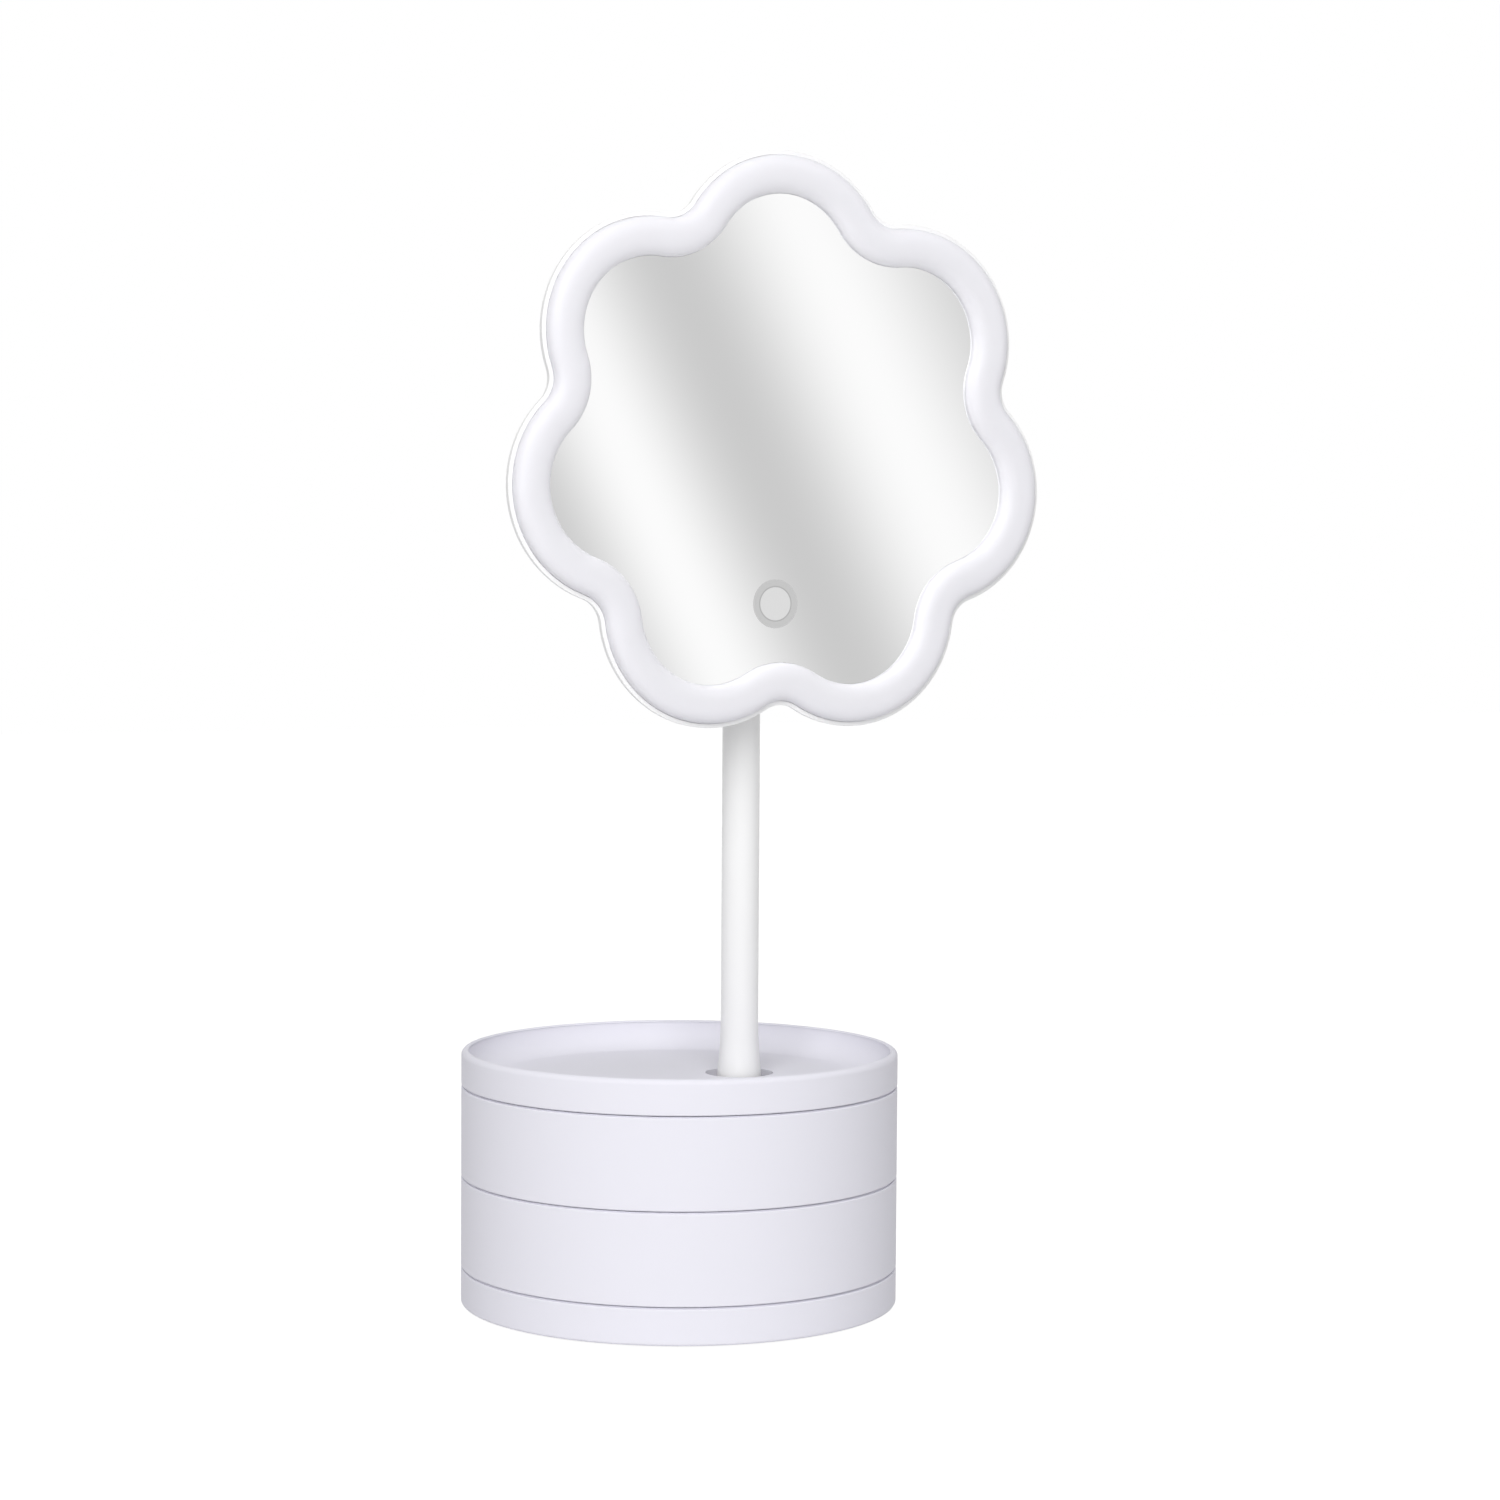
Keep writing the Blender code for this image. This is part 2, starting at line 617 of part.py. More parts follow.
def post(metal, mast):
    """The tube that carries the head, with a slightly flared foot at the tray's floor."""
    profile = [(post_bore, post_low), (POST_RADIUS, post_low), (POST_RADIUS, foot_low),
               (POST_RADIUS + FOOT_FLARE, foot_low)]
    for step in range(CURVE_STEPS + 1):
        left = 1 - step / CURVE_STEPS
        profile.append((POST_RADIUS + FOOT_FLARE * left ** 3,
                        tray_floor_high + FLARE_HEIGHT * (1 - left)))
    profile += [(POST_RADIUS, post_high), (post_bore, post_high)]
    add("post", spun(profile), metal, mast)


def post_bearings(bronze, nylon, tower):
    """Two bushes and a thrust washer, in the column."""
    lows = {"lower_bush": post_low + BUSH_INSET, "upper_bush": column_high - SEAT_GAP - BUSH_LENGTH}
    for name, low in lows.items():
        add(name, washer(bush_bore, bush_radius, low, low + BUSH_LENGTH), bronze, tower)
    add("thrust_washer", washer(SHOULDER_HOLE_RADIUS, bush_radius, thrust_washer_low,
                                thrust_washer_low + THRUST_THICKNESS), nylon, tower)


def post_retainer(steel, mast):
    """Plug, washer and screw that keep the post from lifting out of the column."""
    plug_low = post_low + SEAT_GAP
    add("post_end_plug", washer(retainer_bore, plug_radius, plug_low, plug_low + PLUG_LENGTH),
        steel, mast)
    add("retaining_washer", washer(retainer_bore, column_bore - SEAT_GAP * 3, retaining_washer_low,
                                   retaining_washer_low + THRUST_THICKNESS), steel, mast)
    tip = plug_low + PLUG_LENGTH - SEAT_GAP * 4
    shape = screw(RETAINER_RADIUS, RETAINER_HEAD_RADIUS, RETAINER_HEAD_HEIGHT, tip - retainer_high)
    add("retaining_screw", placed(shape, (0, 0, -1)), steel, mast, (0.0, 0.0, retainer_high))


def post_knuckle(metal, mast):
    """The hinge's middle knuckle, on a neck that is plugged into the post."""
    neck_low = post_high + SEAT_GAP
    taper_high = HEAD_HEIGHT - FRICTION_RADIUS - SEAT_GAP
    taper_low = neck_low + (taper_high - neck_low) * NECK_SHARE
    neck_radius = knuckle_half - SEAT_GAP
    knuckle = add("post_knuckle", spun([
        (0.0, post_high - PLUG_LENGTH), (plug_radius, post_high - PLUG_LENGTH),
        (plug_radius, neck_low), (POST_RADIUS, neck_low), (POST_RADIUS, taper_low),
        (neck_radius, taper_high), (neck_radius, HEAD_HEIGHT), (0.0, HEAD_HEIGHT)]), metal, mast)
    fuse(knuckle, rod(KNUCKLE_RADIUS, (-knuckle_half, 0, HEAD_HEIGHT),
                      (knuckle_half, 0, HEAD_HEIGHT), ROUND_STEPS))
    cut(knuckle, rod(bolt_bore, (-knuckle_half - OVERRUN, 0, HEAD_HEIGHT),
                     (knuckle_half + OVERRUN, 0, HEAD_HEIGHT)))


def friction_washers(nylon, mast):
    for number, side in enumerate((-1, 1), 1):
        shape = washer(bolt_bore, FRICTION_RADIUS, friction_low, friction_low + FRICTION_THICKNESS)
        add(f"friction_washer_{number}", placed(shape, (side, 0, 0)), nylon, mast,
            (0.0, 0.0, HEAD_HEIGHT))


def hinge_bracket(metal, hinge):
    """The plate screwed to the back of the head, with a lug on each side of the knuckle."""
    front, back = bracket_front - HEAD_REACH, bracket_back - HEAD_REACH
    half_height = BRACKET_HEIGHT / 2
    bracket = add("hinge_bracket", block((-bracket_half, front, -half_height),
                                         (bracket_half, back, half_height)), metal, hinge)
    root = (front + back) / 2
    outline = [(root, KNUCKLE_RADIUS), (root, -KNUCKLE_RADIUS)]
    outline += arc((0.0, 0.0), KNUCKLE_RADIUS, -90, 90, CURVE_STEPS * 2)
    for low, high in ((-lug_high, -lug_low), (lug_low, lug_high)):
        fuse(bracket, prism(outline, low, high))
    cut(bracket, rod(bolt_bore, (-bracket_half - OVERRUN, 0, 0), (bracket_half + OVERRUN, 0, 0)))
    for x, z in bracket_screw_places():
        cut(bracket, rod(screw_hole_radius, (x, front - OVERRUN, z), (x, back - SEAT_GAP * 2, z)))


def bracket_screw_places():
    side = bracket_half - BRACKET_SCREW_INSET
    height = BRACKET_HEIGHT / 2 - BRACKET_SCREW_INSET
    return [(x, z) for x in (-side, side) for z in (-height, height)]


def hinge_fasteners(steel, hinge, face):
    """The hinge's bolt and cap nut, and the screws that hold the bracket from inside the head."""
    seat = lug_high + SEAT_GAP
    length = 2 * seat + BOLT_HEAD_HEIGHT / 2
    bolt = screw(BOLT_RADIUS, BOLT_HEAD_RADIUS, BOLT_HEAD_HEIGHT, length)
    add("hinge_bolt", placed(bolt, (-1, 0, 0)), steel, hinge, (-seat, 0.0, 0.0))
    pocket = seat + BOLT_HEAD_HEIGHT / 2 + SEAT_GAP
    top = seat + BOLT_HEAD_HEIGHT
    nut = spun([(0.0, top), (BOLT_HEAD_RADIUS, top), (BOLT_HEAD_RADIUS, seat), (bolt_bore, seat),
                (bolt_bore, pocket), (0.0, pocket)], SMALL_STEPS)
    add("hinge_nut", placed(nut, (1, 0, 0)), steel, hinge)
    head_back = shell_inside - SEAT_GAP
    length = bracket_back - SEAT_GAP * 3 - head_back
    for number, (x, z) in enumerate(bracket_screw_places(), 1):
        shape = screw(SCREW_RADIUS, SCREW_HEAD_RADIUS, SCREW_HEAD_HEIGHT, length)
        add(f"bracket_screw_{number}", placed(shape, (0, -1, 0)), steel, face, (x, head_back, z))


def rear_housing(plastic, face):
    """The back shell: a shallow lobed dish with a thin lip round the light ring."""
    lip = SEAT_GAP + LIP_WIDTH
    seat = RING_LEG_DEPTH
    outer = bezier((lip, LIP_FLAT), (lip, shell_back * SHELL_RISE_SHARE),
                   (-HOUSING_SHOULDER * SHELL_TURN_SHARE, shell_back),
                   (-HOUSING_SHOULDER, shell_back))
    inner = bezier((SEAT_GAP, seat), (SEAT_GAP, shell_inside * SHELL_INNER_RISE_SHARE),
                   (-HOUSING_SHOULDER * SHELL_TURN_SHARE, shell_inside),
                   (-HOUSING_SHOULDER, shell_inside))
    section = outer[::-1] + [(lip, 0.0), (SEAT_GAP, 0.0)] + inner
    housing = add("rear_housing", petal(section, capped=True), plastic, face)
    for x, z in head_boss_places():
        fuse(housing, rod(HEAD_BOSS_RADIUS, (x, electrics_front, z),
                          (x, (shell_inside + shell_back) / 2, z)))
        cut(housing, rod(screw_hole_radius, (x, electrics_front - OVERRUN, z),
                         (x, shell_inside - SEAT_GAP, z)))
    for x, z in bracket_screw_places():
        cut(housing, rod(screw_hole_radius, (x, shell_inside - OVERRUN, z),
                         (x, shell_back + OVERRUN, z)))
    cut(housing, socket_bar(SEAT_GAP, shell_inside - OVERRUN, shell_back + OVERRUN))


def carrier(plastic, face):
    """The inner plate: it backs the mirror and forms the lamp's channel."""
    rim = CARRIER_RIM_INSET + CARRIER_RIM
    rim_front = RING_LEG_DEPTH + SEAT_GAP
    step = carrier_inset + CARRIER_FLOOR
    piece = add("carrier", petal([
        (-carrier_inset, carrier_front), (-carrier_inset, channel_front), (-rim, channel_front),
        (-rim, rim_front), (-CARRIER_RIM_INSET, rim_front), (-CARRIER_RIM_INSET, channel_back),
        (-step, channel_back), (-step, carrier_back)], capped=True), plastic, face)
    for x, z in head_boss_places():
        cut(piece, rod(screw_hole_radius, (x, carrier_front - OVERRUN, z),
                       (x, carrier_back + OVERRUN, z)))
        cut(piece, rod(screw_sink_radius, (x, carrier_front - OVERRUN, z),
                       (x, carrier_front + CARRIER_HEAD_HEIGHT + SEAT_GAP * 2, z)))
    cut(piece, rod(TOUCH_RADIUS + SEAT_GAP, (0, carrier_front - OVERRUN, -TOUCH_DROP),
                   (0, carrier_back + OVERRUN, -TOUCH_DROP)))
    cut(piece, rod(LAMP_HOLE_RADIUS, (0, channel_front - OVERRUN, lamp_hole_low),
                   (0, channel_back + OVERRUN, lamp_hole_low)))


def carrier_screws(steel, face):
    head_back = carrier_front + SEAT_GAP / 3 + CARRIER_HEAD_HEIGHT
    length = shell_inside - SEAT_GAP * 4 - head_back
    for number, (x, z) in enumerate(head_boss_places(), 1):
        shape = screw(SCREW_RADIUS, SCREW_HEAD_RADIUS, CARRIER_HEAD_HEIGHT, length)
        add(f"carrier_screw_{number}", placed(shape, (0, -1, 0)), steel, face, (x, head_back, z))


def led_strip(board, face):
    """The lamp: a thin board that follows the lobes, with a raised chip every few facets."""
    near, far = -strip_inset - STRIP_WIDTH / 2, -strip_inset + STRIP_WIDTH / 2
    front = strip_back - STRIP_THICKNESS
    shape = petal([(near, front), (far, front), (far, strip_back), (near, strip_back)],
                  capped=False)
    fronts = [face for face in shape.faces if face.normal.y < -0.9]
    chips = fronts[::CHIP_SPACING]
    bmesh.ops.inset_individual(shape, faces=chips, thickness=CHIP_INSET)
    raised = bmesh.ops.extrude_discrete_faces(shape, faces=chips)["faces"]
    corners = [corner for chip in raised for corner in chip.verts]
    bmesh.ops.translate(shape, verts=corners, vec=(0.0, -CHIP_HEIGHT, 0.0))
    add("led_strip", shape, board, face)


def diffuser_ring(acrylic, face):
    """The frosted light ring: a crowned channel section, open at the back."""
    outer_leg, inner_leg = RING_OUTER_LEG, RING_WIDTH - RING_INNER_LEG
    half, inner_half = RING_WIDTH / 2, (inner_leg - outer_leg) / 2
    front_seat = glass_front
    section = [(-RING_WIDTH, channel_front - SEAT_GAP), (-inner_leg, channel_front - SEAT_GAP)]
    for step in range(CORNER_STEPS + 2):
        turn = math.pi * step / (CORNER_STEPS + 1)
        section.append((-(inner_leg + outer_leg) / 2 - inner_half * math.cos(turn),
                        front_seat - (RING_RISE - RING_WALL) * math.sin(turn)))
    section += [(-outer_leg, RING_LEG_DEPTH), (0.0, RING_LEG_DEPTH)]
    for step in range(CURVE_STEPS + 1):
        turn = math.pi * step / CURVE_STEPS
        section.append((-half + half * math.cos(turn),
                        -RING_RISE * math.sin(turn) + front_seat * step / CURVE_STEPS))
    add("diffuser_ring", petal(section, capped=False), acrylic, face)


def mirror_glass(silver, face):
    add("mirror_glass", petal([(-glass_inset, glass_front), (-glass_inset, glass_back)],
                              capped=True), silver, face)


def touch_sensor(metal, face):
    add("touch_sensor", rod(TOUCH_RADIUS, (0, carrier_front, -TOUCH_DROP),
                            (0, carrier_back, -TOUCH_DROP)), metal, face)


def socket_bar(grow, front, back):
    """A bar with round sides, as a charging socket has, running back through the shell."""
    x = BOARD_WIDTH / 2 - SOCKET_INSET
    z = board_high - SOCKET_DROP
    radius = SOCKET_HEIGHT / 2 + grow
    side = SOCKET_WIDTH / 2 - SOCKET_HEIGHT / 2
    outline = arc((side, 0.0), radius, -90, 90, CURVE_STEPS)
    outline += arc((-side, 0.0), radius, 90, 270, CURVE_STEPS)
    shape = prism(outline, front, back)
    shape.transform(Matrix.Translation((x, 0.0, z)) @ Matrix.Rotation(math.pi / 2, 4, "Z"))
    return shape


def electrics(board, metal, pouch, red, black, white, face):
    """Battery, control board, charging socket and the leads between them."""
    add("control_board", block((-BOARD_WIDTH / 2, electrics_front, board_low),
                               (BOARD_WIDTH / 2, board_back, board_high)), board, face)
    mouth = shell_back - SOCKET_SUNK
    socket = add("usb_socket", socket_bar(0.0, board_back + SEAT_GAP, mouth), metal, face)
    cut(socket, socket_bar(-SOCKET_WALL, mouth - SOCKET_POCKET, mouth + OVERRUN))
    add("battery_cell", block((-BATTERY_WIDTH / 2, electrics_front, battery_low),
                              (BATTERY_WIDTH / 2, battery_back, battery_low + BATTERY_HEIGHT)),
        pouch, face)
    top, bottom = battery_low - SEAT_GAP, board_high + SEAT_GAP
    for name, side, cover in (("battery_lead_1", -LEAD_SPREAD, red),
                              ("battery_lead_2", LEAD_SPREAD, black)):
        wire(name, [(side, lead_depth, top), (side, lead_depth, bottom)], LEAD_RADIUS, cover, face)
    back = channel_back + LAMP_LEAD_RADIUS + SEAT_GAP * LEAD_ROOM_SHARE
    start = board_low - SEAT_GAP
    end = lamp_hole_low + LAMP_LEAD_BEND
    route = [(0.0, lead_depth, start)]
    for step in range(CURVE_STEPS + 1):
        share = LEAD_RISE_SHARE * step / CURVE_STEPS
        ease = math.sin(math.pi / 2 * step / CURVE_STEPS) ** 2
        height = start - LAMP_LEAD_RADIUS + (end - start) * share
        route.append((0.0, lead_depth + (back - lead_depth) * ease, height))
    centre = (back - LAMP_LEAD_BEND, end)
    route += [(0.0, depth, height) for depth, height in
              arc(centre, LAMP_LEAD_BEND, 0, -90, CURVE_STEPS)]
    route.append((0.0, strip_back + SEAT_GAP, lamp_hole_low))
    wire("led_lead", route, LAMP_LEAD_RADIUS, white, face)


def build():
    clear_scene()
    white = finish("white_plastic", (0.86, 0.86, 0.89), 0.3)
    shell_white = finish("shell_white_plastic", (0.88, 0.88, 0.89), 0.3)
    dark = finish("dark_acetal", (0.09, 0.09, 0.1), 0.4)
    rubber = finish("foam_rubber", (0.04, 0.04, 0.04), 0.9)
    steel = finish("zinc_steel", (0.6, 0.6, 0.61), 0.35, 1.0)
    iron = finish("plate_steel", (0.3, 0.3, 0.31), 0.5, 1.0)
    nylon = finish("natural_nylon", (0.8, 0.79, 0.74), 0.4)
    bronze = finish("sintered_bronze", (0.5, 0.36, 0.2), 0.45, 1.0)
    painted = finish("white_painted_metal", (0.87, 0.87, 0.87), 0.25)
    acrylic = finish("frosted_acrylic", (0.86, 0.86, 0.9), 0.35)
    silver = finish("silvered_glass", (0.9, 0.9, 0.91), 0.02, 1.0)
    board = finish("circuit_board", (0.85, 0.86, 0.84), 0.5)
    pouch = finish("battery_foil", (0.55, 0.56, 0.58), 0.4, 0.6)
    red = finish("red_insulation", (0.5, 0.03, 0.03), 0.5)
    black = finish("black_insulation", (0.02, 0.02, 0.02), 0.5)

    stand = frame("base", (0.0, 0.0, 0.0))
    tower = frame("column_axis", (POST_OFFSET, 0.0, 0.0), stand)
    lower_turner = frame("lower_tier", (POST_OFFSET, 0.0, 0.0), stand)
    upper_turner = frame("upper_tier", (POST_OFFSET, 0.0, 0.0), stand)
    tray_turner = frame("top_tray", (POST_OFFSET, 0.0, 0.0), stand)
    mast = frame("mast", (POST_OFFSET, 0.0, 0.0), stand)
    hinge = frame("head", (0.0, 0.0, HEAD_HEIGHT), mast)
    face = frame("head_lip_plane", (0.0, -HEAD_REACH, 0.0), hinge)

    foot_pad(rubber, stand)
    base_cover(white, steel, stand)
    base_shell(white, stand)
    ballast_plate(iron, steel, stand, tower)
    pivot_column(dark, tower)
    tier_washers(nylon, tower)
    drawer("lower_drawer", white, lower_turner, lower_drawer_low, lower_drawer_low + DRAWER_HEIGHT)
    drawer("upper_drawer", white, upper_turner, upper_drawer_low, ledge_low - SEAM_GAP)
    tray(white, tray_turner)
    circlip(steel, tower)
    post(painted, mast)
    post_bearings(bronze, nylon, tower)
    post_retainer(steel, mast)
    post_knuckle(painted, mast)
    friction_washers(nylon, mast)
    hinge_bracket(painted, hinge)
    hinge_fasteners(steel, hinge, face)
    rear_housing(shell_white, face)
    carrier(shell_white, face)
    carrier_screws(steel, face)
    led_strip(board, face)
    diffuser_ring(acrylic, face)
    mirror_glass(silver, face)
    touch_sensor(steel, face)
    electrics(board, steel, pouch, red, black, white, face)


build()
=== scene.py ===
import math

import bmesh
import bpy
from mathutils import Matrix, Vector


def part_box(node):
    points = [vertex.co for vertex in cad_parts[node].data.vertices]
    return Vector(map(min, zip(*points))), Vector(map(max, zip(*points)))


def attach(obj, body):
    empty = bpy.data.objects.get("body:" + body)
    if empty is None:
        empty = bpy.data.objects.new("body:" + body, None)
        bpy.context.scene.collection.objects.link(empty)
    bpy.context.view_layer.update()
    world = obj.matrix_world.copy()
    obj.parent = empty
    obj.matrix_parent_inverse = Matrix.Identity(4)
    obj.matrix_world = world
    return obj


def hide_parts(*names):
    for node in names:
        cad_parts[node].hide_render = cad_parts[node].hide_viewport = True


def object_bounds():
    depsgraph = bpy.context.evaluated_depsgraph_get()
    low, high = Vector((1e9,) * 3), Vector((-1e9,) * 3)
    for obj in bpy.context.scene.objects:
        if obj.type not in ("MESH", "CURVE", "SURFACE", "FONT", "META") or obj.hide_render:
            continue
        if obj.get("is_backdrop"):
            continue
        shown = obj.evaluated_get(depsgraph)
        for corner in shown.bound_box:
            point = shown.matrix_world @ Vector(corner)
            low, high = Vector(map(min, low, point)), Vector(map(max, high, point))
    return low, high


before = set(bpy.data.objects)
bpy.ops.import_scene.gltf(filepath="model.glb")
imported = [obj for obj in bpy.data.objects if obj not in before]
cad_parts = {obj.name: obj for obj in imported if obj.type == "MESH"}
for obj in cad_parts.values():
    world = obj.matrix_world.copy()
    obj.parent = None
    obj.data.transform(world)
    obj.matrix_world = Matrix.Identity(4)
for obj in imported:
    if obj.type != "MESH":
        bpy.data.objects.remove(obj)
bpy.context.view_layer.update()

# Studio: a white floor in an even white room, a large soft lamp near the camera, a weak one
# overhead, and a shaded card that stands where the mirror looks. Only reflections see the card.
CAMERA_PLACE = Vector((-0.4720, -1.0880, 0.2536))
CAMERA_YAW = math.radians(24.589)
CAMERA_DOWN = math.radians(3.025)
CAMERA_ROLL = math.radians(0.363)
CAMERA_LENS = 83.11
SENSOR_WIDTH = 36.0
ROOM_LIGHT = 0.385
LAMP_AIM = Vector((0.0, 0.0, 0.20))
LAMP_DISTANCE = 2.2
# Each lamp has a name, azimuth and elevation in degrees, size in metres and power in watts.
LAMPS = (("front_lamp", -28, 29, 2.0, 32.0), ("top_lamp", 0, 82, 1.5, 5.5))
FLOOR_SIZE = 8.0
FLOOR_DROP = 0.00005
FLOOR_GLOW = 0.95
FLOOR_WHITE = 0.8
FLOOR_SHADE = 0.24
CARD_DISTANCE = 0.7
CARD_HALF = 0.42
BAND_TILT = math.radians(24.5)
BAND_LENGTH = 0.142
BAND_SHIFT = 0.0547
BAND_DRIFT = -1.15
BAND_MIDDLE = 0.896
BAND_SWING = 0.096
DISPLAY_OFFSET = 0.055
DISPLAY_POWER = 2.4
CARD_FADE_START = 0.16
CARD_FADE_END = 0.27


def put(tree, kind, values=None, **settings):
    """Adds a node. A value is a constant or a node's output, by its socket's name or number."""
    made = tree.nodes.new(kind)
    for name, value in settings.items():
        setattr(made, name, value)
    for socket, value in (values or {}).items():
        if isinstance(value, bpy.types.NodeSocket):
            tree.links.new(value, made.inputs[socket])
        else:
            made.inputs[socket].default_value = value
    return made


def reckon(tree, operation, *values):
    """One Math node, as its output socket."""
    return put(tree, "ShaderNodeMath", dict(enumerate(values)), operation=operation).outputs[0]


def grey(level):
    """A colour value without a tint."""
    return (level, level, level, 1)


def seen_directly(tree):
    """One for rays from the camera, off a shiny surface or through glass, nought for the rest."""
    path = put(tree, "ShaderNodeLightPath").outputs
    seen = reckon(tree, "MAXIMUM", path["Is Camera Ray"], path["Is Glossy Ray"])
    return reckon(tree, "MAXIMUM", seen, path["Is Transmission Ray"])


def empty_material(name):
    material = bpy.data.materials.new(name)
    material.use_nodes = True
    material.node_tree.nodes.clear()
    return material


def stage_square(name, half, material):
    """A flat square of the studio about the origin, by half its side."""
    shape = bmesh.new()
    bmesh.ops.create_grid(shape, x_segments=1, y_segments=1, size=half)
    mesh = bpy.data.meshes.new(name)
    shape.to_mesh(mesh)
    shape.free()
    mesh.materials.append(material)
    obj = bpy.data.objects.new(name, mesh)
    bpy.context.collection.objects.link(obj)
    obj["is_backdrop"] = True
    return obj


scene = bpy.context.scene
scene.view_settings.view_transform = "Standard"
lens = bpy.data.cameras.new("photo_camera")
lens.lens = CAMERA_LENS
lens.sensor_width = SENSOR_WIDTH
camera = bpy.data.objects.new("photo_camera", lens)
camera.location = CAMERA_PLACE
view_line = Vector((math.sin(CAMERA_YAW) * math.cos(CAMERA_DOWN),
                    math.cos(CAMERA_YAW) * math.cos(CAMERA_DOWN), -math.sin(CAMERA_DOWN)))
level_camera = view_line.to_track_quat("-Z", "Y").to_matrix()
camera.rotation_euler = (level_camera @ Matrix.Rotation(CAMERA_ROLL, 3, "Z")).to_euler()
bpy.context.collection.objects.link(camera)
scene.camera = camera

room = bpy.data.worlds.new("white_room")
room.use_nodes = True
room.node_tree.nodes.clear()
tree = room.node_tree
light = put(tree, "ShaderNodeBackground", {"Color": grey(1.0), "Strength": ROOM_LIGHT})
white = put(tree, "ShaderNodeBackground", {"Color": grey(1.0), "Strength": 1.0})
both = put(tree, "ShaderNodeMixShader",
           {0: seen_directly(tree), 1: light.outputs[0], 2: white.outputs[0]})
put(tree, "ShaderNodeOutputWorld", {"Surface": both.outputs[0]})
scene.world = room

floor_finish = empty_material("white_floor")
tree = floor_finish.node_tree
matt = put(tree, "ShaderNodeBsdfDiffuse", {"Color": grey(FLOOR_WHITE)})
faint = put(tree, "ShaderNodeBsdfDiffuse", {"Color": grey(FLOOR_SHADE)})
glow = put(tree, "ShaderNodeEmission", {"Color": grey(1.0), "Strength": FLOOR_GLOW})
shown = put(tree, "ShaderNodeAddShader", {0: faint.outputs[0], 1: glow.outputs[0]})
both = put(tree, "ShaderNodeMixShader",
           {0: seen_directly(tree), 1: matt.outputs[0], 2: shown.outputs[0]})
put(tree, "ShaderNodeOutputMaterial", {"Surface": both.outputs[0]})
stage_square("floor", FLOOR_SIZE / 2, floor_finish).location.z = -FLOOR_DROP

for name, azimuth, elevation, size, power in LAMPS:
    azimuth, elevation = math.radians(azimuth), math.radians(elevation)
    lamp_line = Vector((math.sin(azimuth) * math.cos(elevation),
                        -math.cos(azimuth) * math.cos(elevation), math.sin(elevation)))
    lamp_data = bpy.data.lights.new(name, "AREA")
    lamp_data.shape = "DISK"
    lamp_data.size = size
    lamp_data.energy = power
    lamp = bpy.data.objects.new(name, lamp_data)
    lamp.location = LAMP_AIM + lamp_line * LAMP_DISTANCE
    lamp.rotation_euler = (-lamp_line).to_track_quat("-Z", "Y").to_euler()
    lamp.visible_camera = False
    bpy.context.collection.objects.link(lamp)

card_finish = empty_material("shaded_card")
tree = card_finish.node_tree
place = put(tree, "ShaderNodeTexCoord")
axes = put(tree, "ShaderNodeSeparateXYZ", {0: place.outputs["Object"]})
along = reckon(tree, "MULTIPLY", axes.outputs["X"], math.cos(BAND_TILT))
along = reckon(tree, "MULTIPLY_ADD", axes.outputs["Y"], math.sin(BAND_TILT), along)
along = reckon(tree, "MULTIPLY_ADD", along, reckon(tree, "MULTIPLY", along, BAND_DRIFT), along)
turn = reckon(tree, "MULTIPLY_ADD", along, math.tau / BAND_LENGTH,
              -math.tau * BAND_SHIFT / BAND_LENGTH)
level = reckon(tree, "MULTIPLY_ADD", reckon(tree, "COSINE", turn), BAND_SWING, BAND_MIDDLE)
# The bands' levels are given as a display shows them, and are turned into light here.
level = reckon(tree, "DIVIDE", reckon(tree, "ADD", level, DISPLAY_OFFSET), 1 + DISPLAY_OFFSET)
level = reckon(tree, "POWER", level, DISPLAY_POWER)
reach = put(tree, "ShaderNodeVectorMath", {0: place.outputs["Object"]}, operation="LENGTH")
fade = put(tree, "ShaderNodeMapRange", {"Value": reach.outputs["Value"],
                                        "From Min": CARD_FADE_START, "From Max": CARD_FADE_END},
           interpolation_type="SMOOTHSTEP")
level = put(tree, "ShaderNodeMix", {"Factor": fade.outputs[0], "A": level, "B": 1.0}).outputs[0]
glow = put(tree, "ShaderNodeEmission", {"Color": grey(1.0), "Strength": level})
put(tree, "ShaderNodeOutputMaterial", {"Surface": glow.outputs[0]})
glass_low, glass_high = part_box("mirror_glass")
glass_middle = (glass_low + glass_high) / 2
card = stage_square("mirror_card", CARD_HALF, card_finish)
look = (glass_middle - CAMERA_PLACE).normalized()
card_away = Vector((look.x, -look.y, look.z))
card_side = Vector((math.cos(CAMERA_YAW), math.sin(CAMERA_YAW), 0.0))
card_up = card_away.cross(card_side).normalized()
card.matrix_world = Matrix.Translation(glass_middle + card_away * CARD_DISTANCE) @ Matrix(
    (card_side, card_up, card_side.cross(card_up))).transposed().to_4x4()
card.visible_camera = False
card.visible_diffuse = False
card.visible_shadow = False
card.visible_transmission = False

# Foot pad: a disc of black closed-cell foam, stuck under the bottom cover. It keeps the stand
# from sliding.


def surface_group(name, inputs, outputs):
    """A shader group with named inputs, and its input and output nodes."""
    group = bpy.data.node_groups.new(name, "ShaderNodeTree")
    for title, kind, value in inputs:
        socket = group.interface.new_socket(title, in_out="INPUT", socket_type=kind)
        socket.default_value = value
    for title, kind in outputs:
        group.interface.new_socket(title, in_out="OUTPUT", socket_type=kind)
    return group, group.nodes.new("NodeGroupInput"), group.nodes.new("NodeGroupOutput")


